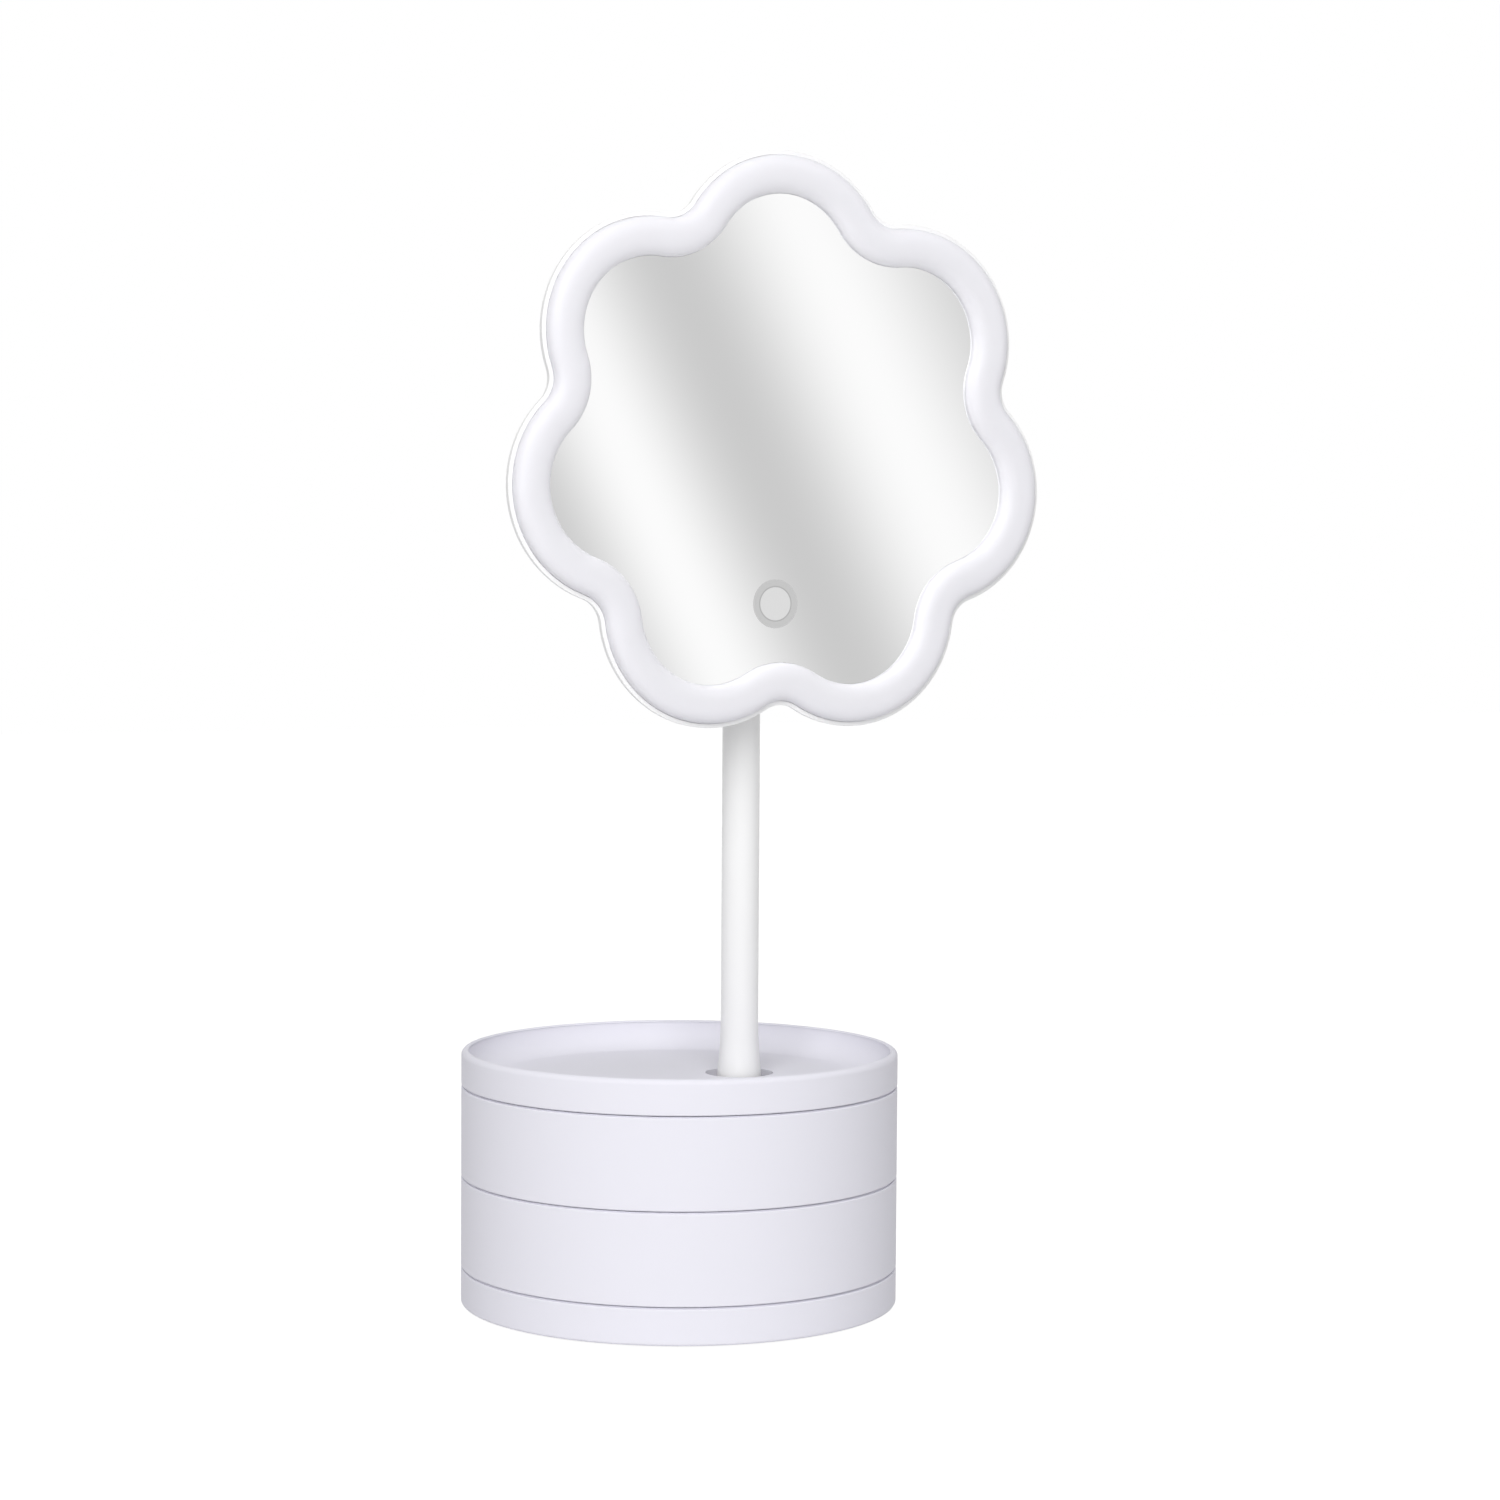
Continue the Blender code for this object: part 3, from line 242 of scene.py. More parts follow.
def give_out(group, given, result, noise, height):
    """Varies the colour and the roughness by a noise, and gives them out with a height."""
    drift = reckon(group, "SUBTRACT", noise, 0.5)
    tone = reckon(group, "MULTIPLY_ADD", drift, given.outputs["Tone"], 1.0)
    tinted = put(group, "ShaderNodeVectorMath", {0: given.outputs["Colour"], 3: tone},
                 operation="SCALE").outputs[0]
    rough = reckon(group, "MULTIPLY_ADD", drift, given.outputs["Roughness Drift"],
                   given.outputs["Roughness"])
    for title, value in (("Colour", tinted), ("Roughness", rough), ("Height", height)):
        group.links.new(value, result.inputs[title])


COLOUR, NUMBER = "NodeSocketColor", "NodeSocketFloat"
moulded, given, result = surface_group(
    "moulded surface",
    (("Colour", COLOUR, grey(0.8)), ("Tone", NUMBER, 0.02), ("Cloud Size", NUMBER, 24.0),
     ("Grain Size", NUMBER, 1800.0), ("Roughness", NUMBER, 0.4), ("Roughness Drift", NUMBER, 0.06)),
    (("Colour", COLOUR), ("Roughness", NUMBER), ("Height", NUMBER)))
place = put(moulded, "ShaderNodeTexCoord").outputs["Object"]
cloud = put(moulded, "ShaderNodeTexNoise", {"Vector": place, "Scale": given.outputs["Cloud Size"],
                                            "Detail": 3.0}).outputs["Fac"]
grain = put(moulded, "ShaderNodeTexNoise", {"Vector": place, "Scale": given.outputs["Grain Size"],
                                            "Detail": 2.0}).outputs["Fac"]
give_out(moulded, given, result, cloud, grain)

worked, given, result = surface_group(
    "worked metal",
    (("Colour", COLOUR, grey(0.6)), ("Tone", NUMBER, 0.15), ("Streak Length", NUMBER, 30.0),
     ("Streak Width", NUMBER, 900.0), ("Roughness", NUMBER, 0.35),
     ("Roughness Drift", NUMBER, 0.15)),
    (("Colour", COLOUR), ("Roughness", NUMBER), ("Height", NUMBER)))
place = put(worked, "ShaderNodeTexCoord").outputs["Object"]
stretch = put(worked, "ShaderNodeCombineXYZ", {0: given.outputs["Streak Length"],
                                               1: given.outputs["Streak Width"],
                                               2: given.outputs["Streak Width"]}).outputs[0]
lines = put(worked, "ShaderNodeVectorMath", {0: place, 1: stretch}, operation="MULTIPLY").outputs[0]
streak = put(worked, "ShaderNodeTexNoise",
             {"Vector": lines, "Scale": 1.0, "Detail": 4.0}).outputs["Fac"]
give_out(worked, given, result, streak, streak)


def finished(name, group, values, bump, **constants):
    """A material: one shared surface group in a Principled shader, with its own constants."""
    material = empty_material(name)
    tree = material.node_tree
    skin = put(tree, "ShaderNodeGroup", node_tree=group)
    for title, value in values.items():
        skin.inputs[title].default_value = value
    relief = put(tree, "ShaderNodeBump", {"Height": skin.outputs["Height"], "Distance": bump})
    shader = put(tree, "ShaderNodeBsdfPrincipled", {"Base Color": skin.outputs["Colour"],
                                                    "Roughness": skin.outputs["Roughness"],
                                                    "Normal": relief.outputs[0]})
    for title, value in constants.items():
        shader.inputs[title.replace("_", " ")].default_value = value
    put(tree, "ShaderNodeOutputMaterial", {"Surface": shader.outputs[0]})
    return material


def dress(material, *names):
    """Gives carried-over CAD nodes their material."""
    for name in names:
        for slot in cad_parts[name].material_slots:
            slot.material = material


closed_foam = finished("closed_foam", moulded, {"Colour": (0.03, 0.03, 0.032, 1), "Tone": 0.5,
                                                "Cloud Size": 160.0, "Grain Size": 1400.0,
                                                "Roughness": 0.88}, bump=0.0002)
dress(closed_foam, "foot_pad")

# Bottom cover: a flat moulded disc under the base, held by four plated screws that are sunk in
# it. The screws have round heads with a cross recess and a rolled thread.
DRIVE_SHARE = 1.1
DRIVE_ARM_SHARE = 0.26
DRIVE_DEPTH_SHARE = 0.55
HEAD_CROWN_SHARE = 0.8
THREAD_PITCH = 0.0006
THREAD_HEIGHT = 0.00013
SCREW_RADIUS = 0.0015
COVER_HEAD_HEIGHT = 0.0010
SHANK_SIDES = 20
HEAD_SIDES = 32
THREAD_STEPS = 14
RIDGE_SIDES = 4
HEADS_DOWN = Matrix.Rotation(math.pi, 3, "X").to_euler()
HEADS_FORWARD = Matrix.Rotation(math.pi / 2, 3, "X").to_euler()

white_moulding = finished("white_moulding", moulded,
                          {"Colour": (0.858, 0.85, 0.92, 1), "Tone": 0.012, "Roughness": 0.5},
                          bump=0.000004, Specular_IOR_Level=0.03)
zinc_plate = finished("zinc_plate", worked, {"Colour": (0.62, 0.62, 0.64, 1), "Roughness": 0.32},
                      bump=0.00001, Metallic=1.0)


def node_tree(name, inputs):
    """A Geometry Nodes tree with named inputs that gives out one geometry."""
    tree = bpy.data.node_groups.new(name, "GeometryNodeTree")
    tree.interface.new_socket("Geometry", in_out="INPUT", socket_type="NodeSocketGeometry")
    for title, kind in inputs:
        tree.interface.new_socket(title, in_out="INPUT", socket_type=kind)
    tree.interface.new_socket("Geometry", in_out="OUTPUT", socket_type="NodeSocketGeometry")
    return tree, tree.nodes.new("NodeGroupInput"), tree.nodes.new("NodeGroupOutput")


def close_tree(tree, geometry, material, result):
    """Ends a tree with plain geometry in its material."""
    solid = put(tree, "GeometryNodeRealizeInstances", {0: geometry}).outputs[0]
    coloured = put(tree, "GeometryNodeSetMaterial", {"Geometry": solid, "Material": material})
    tree.links.new(coloured.outputs[0], result.inputs[0])


def grown(name, start, tree, values):
    """Runs a tree on a mesh, with its inputs set by identifier, and gives the result as a mesh."""
    obj = bpy.data.objects.new(name, start)
    bpy.context.collection.objects.link(obj)
    step = obj.modifiers.new(tree.name, "NODES")
    step.node_group = tree
    for item in tree.interface.items_tree:
        if item.item_type == "SOCKET" and item.in_out == "INPUT" and item.name in values:
            step[item.identifier] = values[item.name]
    return settled(obj)


def settled(obj):
    """Turns an object with its modifiers into a plain mesh, and removes the object."""
    bpy.context.view_layer.update()
    seen = obj.evaluated_get(bpy.context.evaluated_depsgraph_get())
    mesh = bpy.data.meshes.new_from_object(seen)
    bpy.data.objects.remove(obj, do_unlink=True)
    return mesh


def piece(name, mesh, material, body, slot, *replaced):
    """Makes a mesh a piece of the object: it rides on its body and stands for its CAD nodes."""
    mesh.name = name
    mesh.materials.clear()
    mesh.materials.append(material)
    obj = bpy.data.objects.new(name, mesh)
    bpy.context.collection.objects.link(obj)
    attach(obj, body)
    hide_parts(*replaced)


FLOAT, VECTOR = "NodeSocketFloat", "NodeSocketVector"
screw_tree, given, result = node_tree("fitted screws", (
    ("Shank Radius", FLOAT), ("Shank Length", FLOAT), ("Head Radius", FLOAT),
    ("Head Height", FLOAT), ("Pitch", FLOAT), ("Thread Height", FLOAT), ("Turn", VECTOR),
    ("Material", "NodeSocketMaterial")))
size = given.outputs


def shifted(shape, height):
    """Moves a part of the screw along its axis."""
    move = put(screw_tree, "ShaderNodeCombineXYZ", {2: height})
    return put(screw_tree, "GeometryNodeTransform", {"Geometry": shape,
                                                     "Translation": move.outputs[0]}).outputs[0]


core = reckon(screw_tree, "SUBTRACT", size["Shank Radius"], size["Thread Height"])
shank = put(screw_tree, "GeometryNodeMeshCylinder", {
    "Vertices": SHANK_SIDES, "Radius": core, "Depth": size["Shank Length"]}).outputs["Mesh"]
shank = shifted(shank, reckon(screw_tree, "MULTIPLY", size["Shank Length"], -0.5))
head = put(screw_tree, "GeometryNodeMeshCone", {
    "Vertices": HEAD_SIDES, "Radius Bottom": size["Head Radius"],
    "Radius Top": reckon(screw_tree, "MULTIPLY", size["Head Radius"], HEAD_CROWN_SHARE),
    "Depth": size["Head Height"]})
arm = reckon(screw_tree, "MULTIPLY", size["Head Radius"], DRIVE_SHARE)
narrow = reckon(screw_tree, "MULTIPLY", size["Head Radius"], DRIVE_ARM_SHARE)
deep = reckon(screw_tree, "MULTIPLY", size["Head Height"], 2 * DRIVE_DEPTH_SHARE)
slotted = put(screw_tree, "GeometryNodeMeshBoolean", operation="DIFFERENCE", solver="EXACT")
screw_tree.links.new(head.outputs["Mesh"], slotted.inputs["Mesh 1"])
for sizes in ((arm, narrow, deep), (narrow, arm, deep)):
    bar_size = put(screw_tree, "ShaderNodeCombineXYZ", dict(enumerate(sizes))).outputs[0]
    bar = put(screw_tree, "GeometryNodeMeshCube", {"Size": bar_size}).outputs["Mesh"]
    screw_tree.links.new(shifted(bar, size["Head Height"]), slotted.inputs["Mesh 2"])
spiral = put(screw_tree, "GeometryNodeCurveSpiral", {
    "Resolution": THREAD_STEPS, "Start Radius": core, "End Radius": core,
    "Rotations": reckon(screw_tree, "DIVIDE", size["Shank Length"], size["Pitch"]),
    "Height": size["Shank Length"]}).outputs[0]
spiral = shifted(spiral, reckon(screw_tree, "MULTIPLY", size["Shank Length"], -1.0))
ridge = put(screw_tree, "GeometryNodeCurvePrimitiveCircle", {"Resolution": RIDGE_SIDES,
                                                             "Radius": size["Thread Height"]})
thread = put(screw_tree, "GeometryNodeCurveToMesh", {
    "Curve": spiral, "Profile Curve": ridge.outputs[0], "Fill Caps": True})
whole = put(screw_tree, "GeometryNodeJoinGeometry")
for part in (thread.outputs[0], slotted.outputs[0], shank):
    screw_tree.links.new(part, whole.inputs[0])
turned_screw = put(screw_tree, "FunctionNodeEulerToRotation", {0: size["Turn"]})
screws = put(screw_tree, "GeometryNodeInstanceOnPoints", {
    "Points": put(screw_tree, "GeometryNodeMeshToPoints", {"Mesh": size["Geometry"]}).outputs[0],
    "Instance": whole.outputs[0], "Rotation": turned_screw.outputs[0]})
close_tree(screw_tree, screws.outputs[0], size["Material"], result)


def screw_set(kind, count, turn, head_height, body):
    """Plated screws in the places of like CAD screws, as one piece for their body."""
    name = f"{kind}s"
    nodes = [f"{kind}_{number}" for number in range(1, count + 1)]
    boxes = [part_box(node) for node in nodes]
    axis = Vector((0, 0, 1))
    axis.rotate(turn)
    line = max(range(3), key=lambda number: abs(axis[number]))
    low, high = boxes[0]
    head_radius = max(high[number] - low[number] for number in range(3) if number != line) / 2
    length = high[line] - low[line] - head_height
    seats = []
    for low, high in boxes:
        seat = (low + high) / 2
        top = high[line] if axis[line] > 0 else low[line]
        seat[line] = top - math.copysign(head_height, axis[line])
        seats.append(seat)
    start = bpy.data.meshes.new(name)
    start.from_pydata([tuple(seat) for seat in seats], [], [])
    mesh = grown(name, start, screw_tree, {
        "Shank Radius": SCREW_RADIUS, "Shank Length": length, "Head Radius": head_radius,
        "Head Height": head_height, "Pitch": THREAD_PITCH, "Thread Height": THREAD_HEIGHT,
        "Turn": tuple(turn), "Material": zinc_plate})
    piece(name, mesh, zinc_plate, body, "zinc_steel", *nodes)


dress(white_moulding, "base_cover")
screw_set("cover_screw", 4, HEADS_DOWN, COVER_HEAD_HEIGHT, "base")

# Base: a shallow moulded shell in the drawers' lavender white, with a rounded lower edge and a
# hole in its top for the column. It stands 1 mm off the table on the pad.
EDGE_ROUND = 0.0006
SOLE_ROUND = 0.0010
HOLD = 0.0002
DRUM_STEPS = 192
ROUND_STEPS = 96
ARC_STEPS = 8
MERGE_DISTANCE = 1e-6
CREASE = math.radians(32)
BEVEL_SEGMENTS = 3
CUT_OVERRUN = 0.0026
TIER_WALL = 0.0026
SEAT_GAP = 0.0003
BASE_PLATE = 0.0022
HUB_BORE = 0.0107
BEAD_INSET = 0.0010
BEAD_HEIGHT = 0.00025
BEAD_ROOT = 0.0013


def arc(centre, radius, start, end, steps=ARC_STEPS):
    """Points of an arc in a profile, angles in degrees, both ends included."""
    turns = [math.radians(start + (end - start) * step / steps) for step in range(steps + 1)]
    return [(centre[0] + radius * math.cos(turn), centre[1] + radius * math.sin(turn))
            for turn in turns]


def turned(profile, steps=ROUND_STEPS):
    """Turns (radius, height) points about Z: a loop, or a line that starts and ends on the axis."""
    shape = bmesh.new()
    corners = [shape.verts.new((radius, 0.0, height)) for radius, height in profile]
    edges = [shape.edges.new(pair) for pair in zip(corners, corners[1:])]
    if profile[0][0] > 0:
        edges.append(shape.edges.new((corners[-1], corners[0])))
    bmesh.ops.spin(shape, geom=corners + edges, cent=(0, 0, 0), axis=(0, 0, 1), angle=math.tau,
                   steps=steps, use_merge=False)
    bmesh.ops.remove_doubles(shape, verts=shape.verts, dist=MERGE_DISTANCE)
    bmesh.ops.recalc_face_normals(shape, faces=shape.faces)
    return shape


def tube(bore, radius, low, high, steps=ROUND_STEPS):
    return turned([(bore, low), (radius, low), (radius, high), (bore, high)], steps)


def disc(radius, low, high, steps=ROUND_STEPS):
    return turned([(0.0, low), (radius, low), (radius, high), (0.0, high)], steps)


def moved(shape, place, direction=(0.0, 0.0, 1.0)):
    """Turns a shape's +Z to a direction and moves it to a place."""
    turn = Vector((0, 0, 1)).rotation_difference(Vector(direction)).to_matrix().to_4x4()
    shape.transform(Matrix.Translation(Vector(place)) @ turn)
    return shape


def post_disc(radius, low, high):
    """A disc about the post's line, for a hub or a bore."""
    return moved(disc(radius, low, high), post_line)


def stacking_bead(high):
    """The bead on a tier's rim that lies in the seam above it and hides the drawer's inside."""
    ring = tube(inner_radius + HOLD, drum_radius - BEAD_INSET, high - BEAD_ROOT,
                high + BEAD_HEIGHT, DRUM_STEPS)
    return moved(ring, drum_middle)


def carved(name, shape, joins=(), cuts=(), bevel=0.0):
    """Joins shapes to a first one, cuts others out and rounds its edges, as one plain mesh."""
    mesh = bpy.data.meshes.new(name)
    shape.to_mesh(mesh)
    shape.free()
    obj = bpy.data.objects.new(name, mesh)
    bpy.context.collection.objects.link(obj)
    guides = []
    for operation, others in (("UNION", joins), ("DIFFERENCE", cuts)):
        for other in others:
            guide_mesh = bpy.data.meshes.new("guide")
            other.to_mesh(guide_mesh)
            other.free()
            guide = bpy.data.objects.new("guide", guide_mesh)
            bpy.context.collection.objects.link(guide)
            step = obj.modifiers.new(operation, "BOOLEAN")
            step.operation = operation
            step.solver = "EXACT"
            step.object = guide
            guides.append(guide)
    if bevel:
        step = obj.modifiers.new("rounded edges", "BEVEL")
        step.width = bevel
        step.segments = BEVEL_SEGMENTS
        step.limit_method = "ANGLE"
        step.angle_limit = CREASE
        step.use_clamp_overlap = True
    solid = settled(obj)
    for guide in guides:
        bpy.data.objects.remove(guide, do_unlink=True)
    return solid


def smoothed(mesh):
    """Shades a mesh smooth with sharp creases, with its large flat faces kept flat."""
    mesh.shade_smooth()
    mesh.set_sharp_from_angle(angle=CREASE)
    obj = bpy.data.objects.new("smoothed", mesh)
    bpy.context.collection.objects.link(obj)
    step = obj.modifiers.new("flat faces", "WEIGHTED_NORMAL")
    step.keep_sharp = True
    return settled(obj)


base_bottom, base_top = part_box("base_shell")
drum_radius = (base_top.x - base_bottom.x) / 2
inner_radius = drum_radius - TIER_WALL
drum_middle = Vector(((base_bottom.x + base_top.x) / 2, 0.0, 0.0))
column_low, column_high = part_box("pivot_column")
post_line = Vector(((column_low.x + column_high.x) / 2, 0.0, 0.0))
plate_low = base_top.z - BASE_PLATE
profile = [(0.0, plate_low), (inner_radius, plate_low), (inner_radius, base_bottom.z)]
profile += arc((drum_radius - SOLE_ROUND, base_bottom.z + SOLE_ROUND), SOLE_ROUND, -90, 0)
profile += [(drum_radius, base_bottom.z + SOLE_ROUND + HOLD)]
profile += [(drum_radius, base_top.z - EDGE_ROUND - HOLD)]
profile += arc((drum_radius - EDGE_ROUND, base_top.z - EDGE_ROUND), EDGE_ROUND, 0, 90)
profile += [(drum_radius - EDGE_ROUND - HOLD, base_top.z), (0.0, base_top.z)]
bore = post_disc(HUB_BORE, plate_low - CUT_OVERRUN, base_top.z + CUT_OVERRUN)
base_mesh = carved("base_casing", moved(turned(profile, DRUM_STEPS), drum_middle),
                   [stacking_bead(base_top.z)], [bore])
piece("base_casing", smoothed(base_mesh), white_moulding, "base", "white_plastic", "base_shell")

# Weight and column: a sheet steel disc inside the base, screwed to the flange of a grey acetal
# column. The tiers turn on the column over nylon washers, held down by a spring clip.
COLUMN_HEAD_SHARE = 0.45
BALLAST_THICKNESS = 0.0031

grey_acetal = finished("grey_acetal", moulded, {"Colour": (0.28, 0.28, 0.29, 1), "Tone": 0.2,
                                                "Roughness": 0.38}, bump=0.000005)
rolled_steel = finished("rolled_steel", worked, {"Colour": (0.30, 0.30, 0.31, 1), "Tone": 0.4,
                                                 "Roughness": 0.5}, bump=0.00003, Metallic=1.0)
slip_nylon = finished("slip_nylon", moulded, {"Colour": (0.78, 0.77, 0.71, 1), "Tone": 0.04,
                                              "Roughness": 0.45}, bump=0.00001)
spring_steel = finished("spring_steel", worked, {"Colour": (0.35, 0.36, 0.39, 1),
                                                 "Roughness": 0.3}, bump=0.00001, Metallic=1.0)
bush_bronze = finished("bush_bronze", moulded, {"Colour": (0.52, 0.36, 0.19, 1), "Tone": 0.3,
                                                "Cloud Size": 400.0, "Roughness": 0.45},
                       bump=0.00003, Metallic=1.0)
dress(rolled_steel, "ballast_plate")
dress(grey_acetal, "pivot_column")
dress(slip_nylon, "tier_washer_1", "tier_washer_2", "tier_washer_3", "thrust_washer")
dress(spring_steel, "circlip")
dress(bush_bronze, "upper_bush", "lower_bush")
screw_set("column_screw", 3, HEADS_DOWN, BALLAST_THICKNESS * COLUMN_HEAD_SHARE, "base")

# Drawers: two deep round bowls, moulded with thin walls and a hub off their middle that turns on
# the column. Each swings out sideways over the one below.
SEAM_GAP = 0.0006
DRAWER_FLOOR = 0.0020
DRAWER_FILLET = 0.003
HUB_RADIUS = 0.015
RECESS_RADIUS = 0.0135
RECESS_DEPTH = 0.0010


def bowl(low, high, floor, fillet, rim_round):
    """A round bowl about the drum's middle, with a fillet inside and a rounded rim."""
    outer, inner, edge = drum_radius, inner_radius, EDGE_ROUND
    rim_inner = TIER_WALL - rim_round
    profile = [(0.0, low), (outer - edge - HOLD, low)]
    profile += arc((outer - edge, low + edge), edge, -90, 0)
    profile += [(outer, low + edge + HOLD), (outer, high - rim_round - HOLD)]
    profile += arc((outer - rim_round, high - rim_round), rim_round, 0, 90)
    profile += arc((inner + rim_inner, high - rim_inner), rim_inner, 90, 180)
    profile += [(inner, high - rim_inner - HOLD), (inner, floor + fillet + HOLD)]
    profile += arc((inner - fillet, floor + fillet), fillet, 0, -90, 2 * ARC_STEPS)
    profile += [(inner - fillet - HOLD, floor), (0.0, floor)]
    return moved(turned(profile, DRUM_STEPS), drum_middle)


boss_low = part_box("tray")[0].z
for name, body, hub_high in (("lower_drawer", "lower_tier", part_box("lower_drawer")[1].z),
                             ("upper_drawer", "upper_tier", boss_low - SEAM_GAP)):
    drawer_low, drawer_high = (corner.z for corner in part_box(name))
    floor = drawer_low + DRAWER_FLOOR
    hub = post_disc(HUB_RADIUS, drawer_low + RECESS_DEPTH + HOLD, hub_high)
    cuts = [post_disc(RECESS_RADIUS, drawer_low - CUT_OVERRUN, drawer_low + RECESS_DEPTH),
            post_disc(HUB_BORE, drawer_low - CUT_OVERRUN, drawer_high + CUT_OVERRUN)]
    mesh = carved(name, bowl(drawer_low, drawer_high, floor, DRAWER_FILLET, EDGE_ROUND),
                  [hub, stacking_bead(drawer_high)], cuts)
    piece(f"{name}_bowl", smoothed(mesh), white_moulding, body, "white_plastic", name)

# Tray: the open top tier, with a wide fillet inside and a full round rim. The post comes up
# through its counterbored boss, where a dark running gap shows round the foot.
TRAY_FLOOR = 0.0021
TRAY_FILLET = 0.009
RIM_ROUND = 0.0019
COUNTERBORE = 0.0118

tray_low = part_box("upper_drawer")[1].z + SEAM_GAP
tray_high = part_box("tray")[1].z
tray_floor = tray_low + TRAY_FLOOR
clip_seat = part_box("circlip")[0].z - SEAT_GAP
hub = post_disc(HUB_RADIUS, boss_low, tray_low + TRAY_FLOOR / 2)
cuts = [post_disc(RECESS_RADIUS, boss_low - CUT_OVERRUN, boss_low + RECESS_DEPTH),
        post_disc(COUNTERBORE, clip_seat, tray_high),
        post_disc(HUB_BORE, boss_low - CUT_OVERRUN, tray_high)]
mesh = carved("tray", bowl(tray_low, tray_high, tray_floor, TRAY_FILLET, RIM_ROUND), [hub], cuts)
piece("open_tray", smoothed(mesh), white_moulding, "top_tray", "white_plastic", "tray")

# Post: a drawn steel tube, swaged out to a flared foot and powder coated in plain white. Below
# the foot it runs down in the column's two bushes.
POST_RADIUS = 0.0065
POST_BORE = 0.0055
FLARE_HEIGHT = 0.026
FOOT_EDGE = 0.0003
FLARE_STEPS = 32

white_coat = finished("white_coat", moulded, {"Colour": grey(0.94), "Tone": 0.01,
                                              "Grain Size": 900.0, "Roughness": 0.32},
                      bump=0.000006, Specular_IOR_Level=0.4)
post_low, post_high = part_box("post")
foot_radius = (post_high.x - post_low.x) / 2
flare = foot_radius - POST_RADIUS
foot_low = column_high.z + SEAT_GAP
profile = [(POST_BORE, post_low.z), (POST_RADIUS, post_low.z), (POST_RADIUS, foot_low)]
profile += [(foot_radius - FOOT_EDGE, foot_low), (foot_radius, foot_low + FOOT_EDGE)]
for step in range(FLARE_STEPS + 1):
    left = 1 - step / FLARE_STEPS
    profile.append((POST_RADIUS + flare * left ** 3, tray_floor + FLARE_HEIGHT * (1 - left)))
profile += [(POST_RADIUS, post_high.z - EDGE_ROUND), (POST_RADIUS - EDGE_ROUND, post_high.z)]
profile += [(POST_BORE, post_high.z)]
post_mesh = carved("post", moved(turned(profile), post_line))
piece("flared_post", smoothed(post_mesh), white_coat, "mast", "white_painted_metal", "post")
dress(zinc_plate, "post_end_plug", "retaining_washer", "retaining_screw")

# Hinge: a cast knuckle plugged into the post, between the lugs of a cast bracket. A cap bolt and
# nut squeeze nylon washers, so the head stays where it is put. Both castings are coated white.
KNUCKLE_RADIUS = 0.0080
KNUCKLE_HALF = 0.0056
NECK_SHARE = 0.4
FRICTION_RADIUS = 0.0060
PLUG_LENGTH = 0.014
LUG_LOW = 0.0070
LUG_HIGH = 0.0106
BOLT_BORE = 0.0023
BOLT_RADIUS = 0.0020
BRACKET_THICKNESS = 0.0032
BRACKET_HEAD_HEIGHT = 0.0010
CASTING_ROUND = 0.0005
NECK_STEPS = 64
BORE_STEPS = 48
HEX_SIDES = 6
HEX_SHARE = 0.5
HEX_DEPTH_SHARE = 0.6
NUT_DISH_SHARE = 1 / 3

bolt_low, bolt_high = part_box("hinge_bolt")
hinge_height = (bolt_low.z + bolt_high.z) / 2
hinge_place = post_line + Vector((0.0, 0.0, hinge_height))


def across(shape, side=1):
    """Lays a shape that was turned about Z along the hinge's axis."""
    return moved(shape, hinge_place, (side, 0, 0))


def bolt_hole():
    return across(disc(BOLT_BORE, -2 * LUG_HIGH, 2 * LUG_HIGH, BORE_STEPS))


neck_low = post_high.z + SEAT_GAP
taper_high = hinge_height - FRICTION_RADIUS - SEAT_GAP
taper_low = neck_low + (taper_high - neck_low) * NECK_SHARE
neck_radius = KNUCKLE_HALF - SEAT_GAP
neck = turned([(0.0, post_high.z - PLUG_LENGTH), (POST_BORE - SEAT_GAP, post_high.z - PLUG_LENGTH),
               (POST_BORE - SEAT_GAP, neck_low), (POST_RADIUS, neck_low), (POST_RADIUS, taper_low),
               (neck_radius, taper_high), (neck_radius, hinge_height), (0.0, hinge_height)],
              NECK_STEPS)
barrel = across(disc(KNUCKLE_RADIUS, -KNUCKLE_HALF, KNUCKLE_HALF))
mesh = carved("knuckle", moved(neck, post_line), [barrel], [bolt_hole()], CASTING_ROUND)
piece("cast_knuckle", smoothed(mesh), white_coat, "mast", "white_painted_metal", "post_knuckle")


def slab(low, high):
    """A box between two corners."""
    shape = bmesh.new()
    bmesh.ops.create_cube(shape, size=1.0)
    low, high = Vector(low), Vector(high)
    for corner in shape.verts:
        corner.co = Vector(start + (share + 0.5) * (end - start)
                           for share, start, end in zip(corner.co, low, high))
    return shape


bracket_low, bracket_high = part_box("hinge_bracket")
plate = slab(bracket_low, (bracket_high.x, bracket_low.y + BRACKET_THICKNESS, bracket_high.z))
lug_root = bracket_low.y + BRACKET_THICKNESS / 2
lugs = []
for side in (-1, 1):
    inner, outer = sorted((side * LUG_LOW, side * LUG_HIGH))
    lugs.append(across(disc(KNUCKLE_RADIUS, inner, outer)))
    lugs.append(slab(hinge_place + Vector((inner, lug_root, -KNUCKLE_RADIUS)),
                     hinge_place + Vector((outer, 0.0, KNUCKLE_RADIUS))))
mesh = carved("bracket", plate, lugs, [bolt_hole()], CASTING_ROUND)
piece("cast_bracket", smoothed(mesh), white_coat, "head", "white_painted_metal", "hinge_bracket")

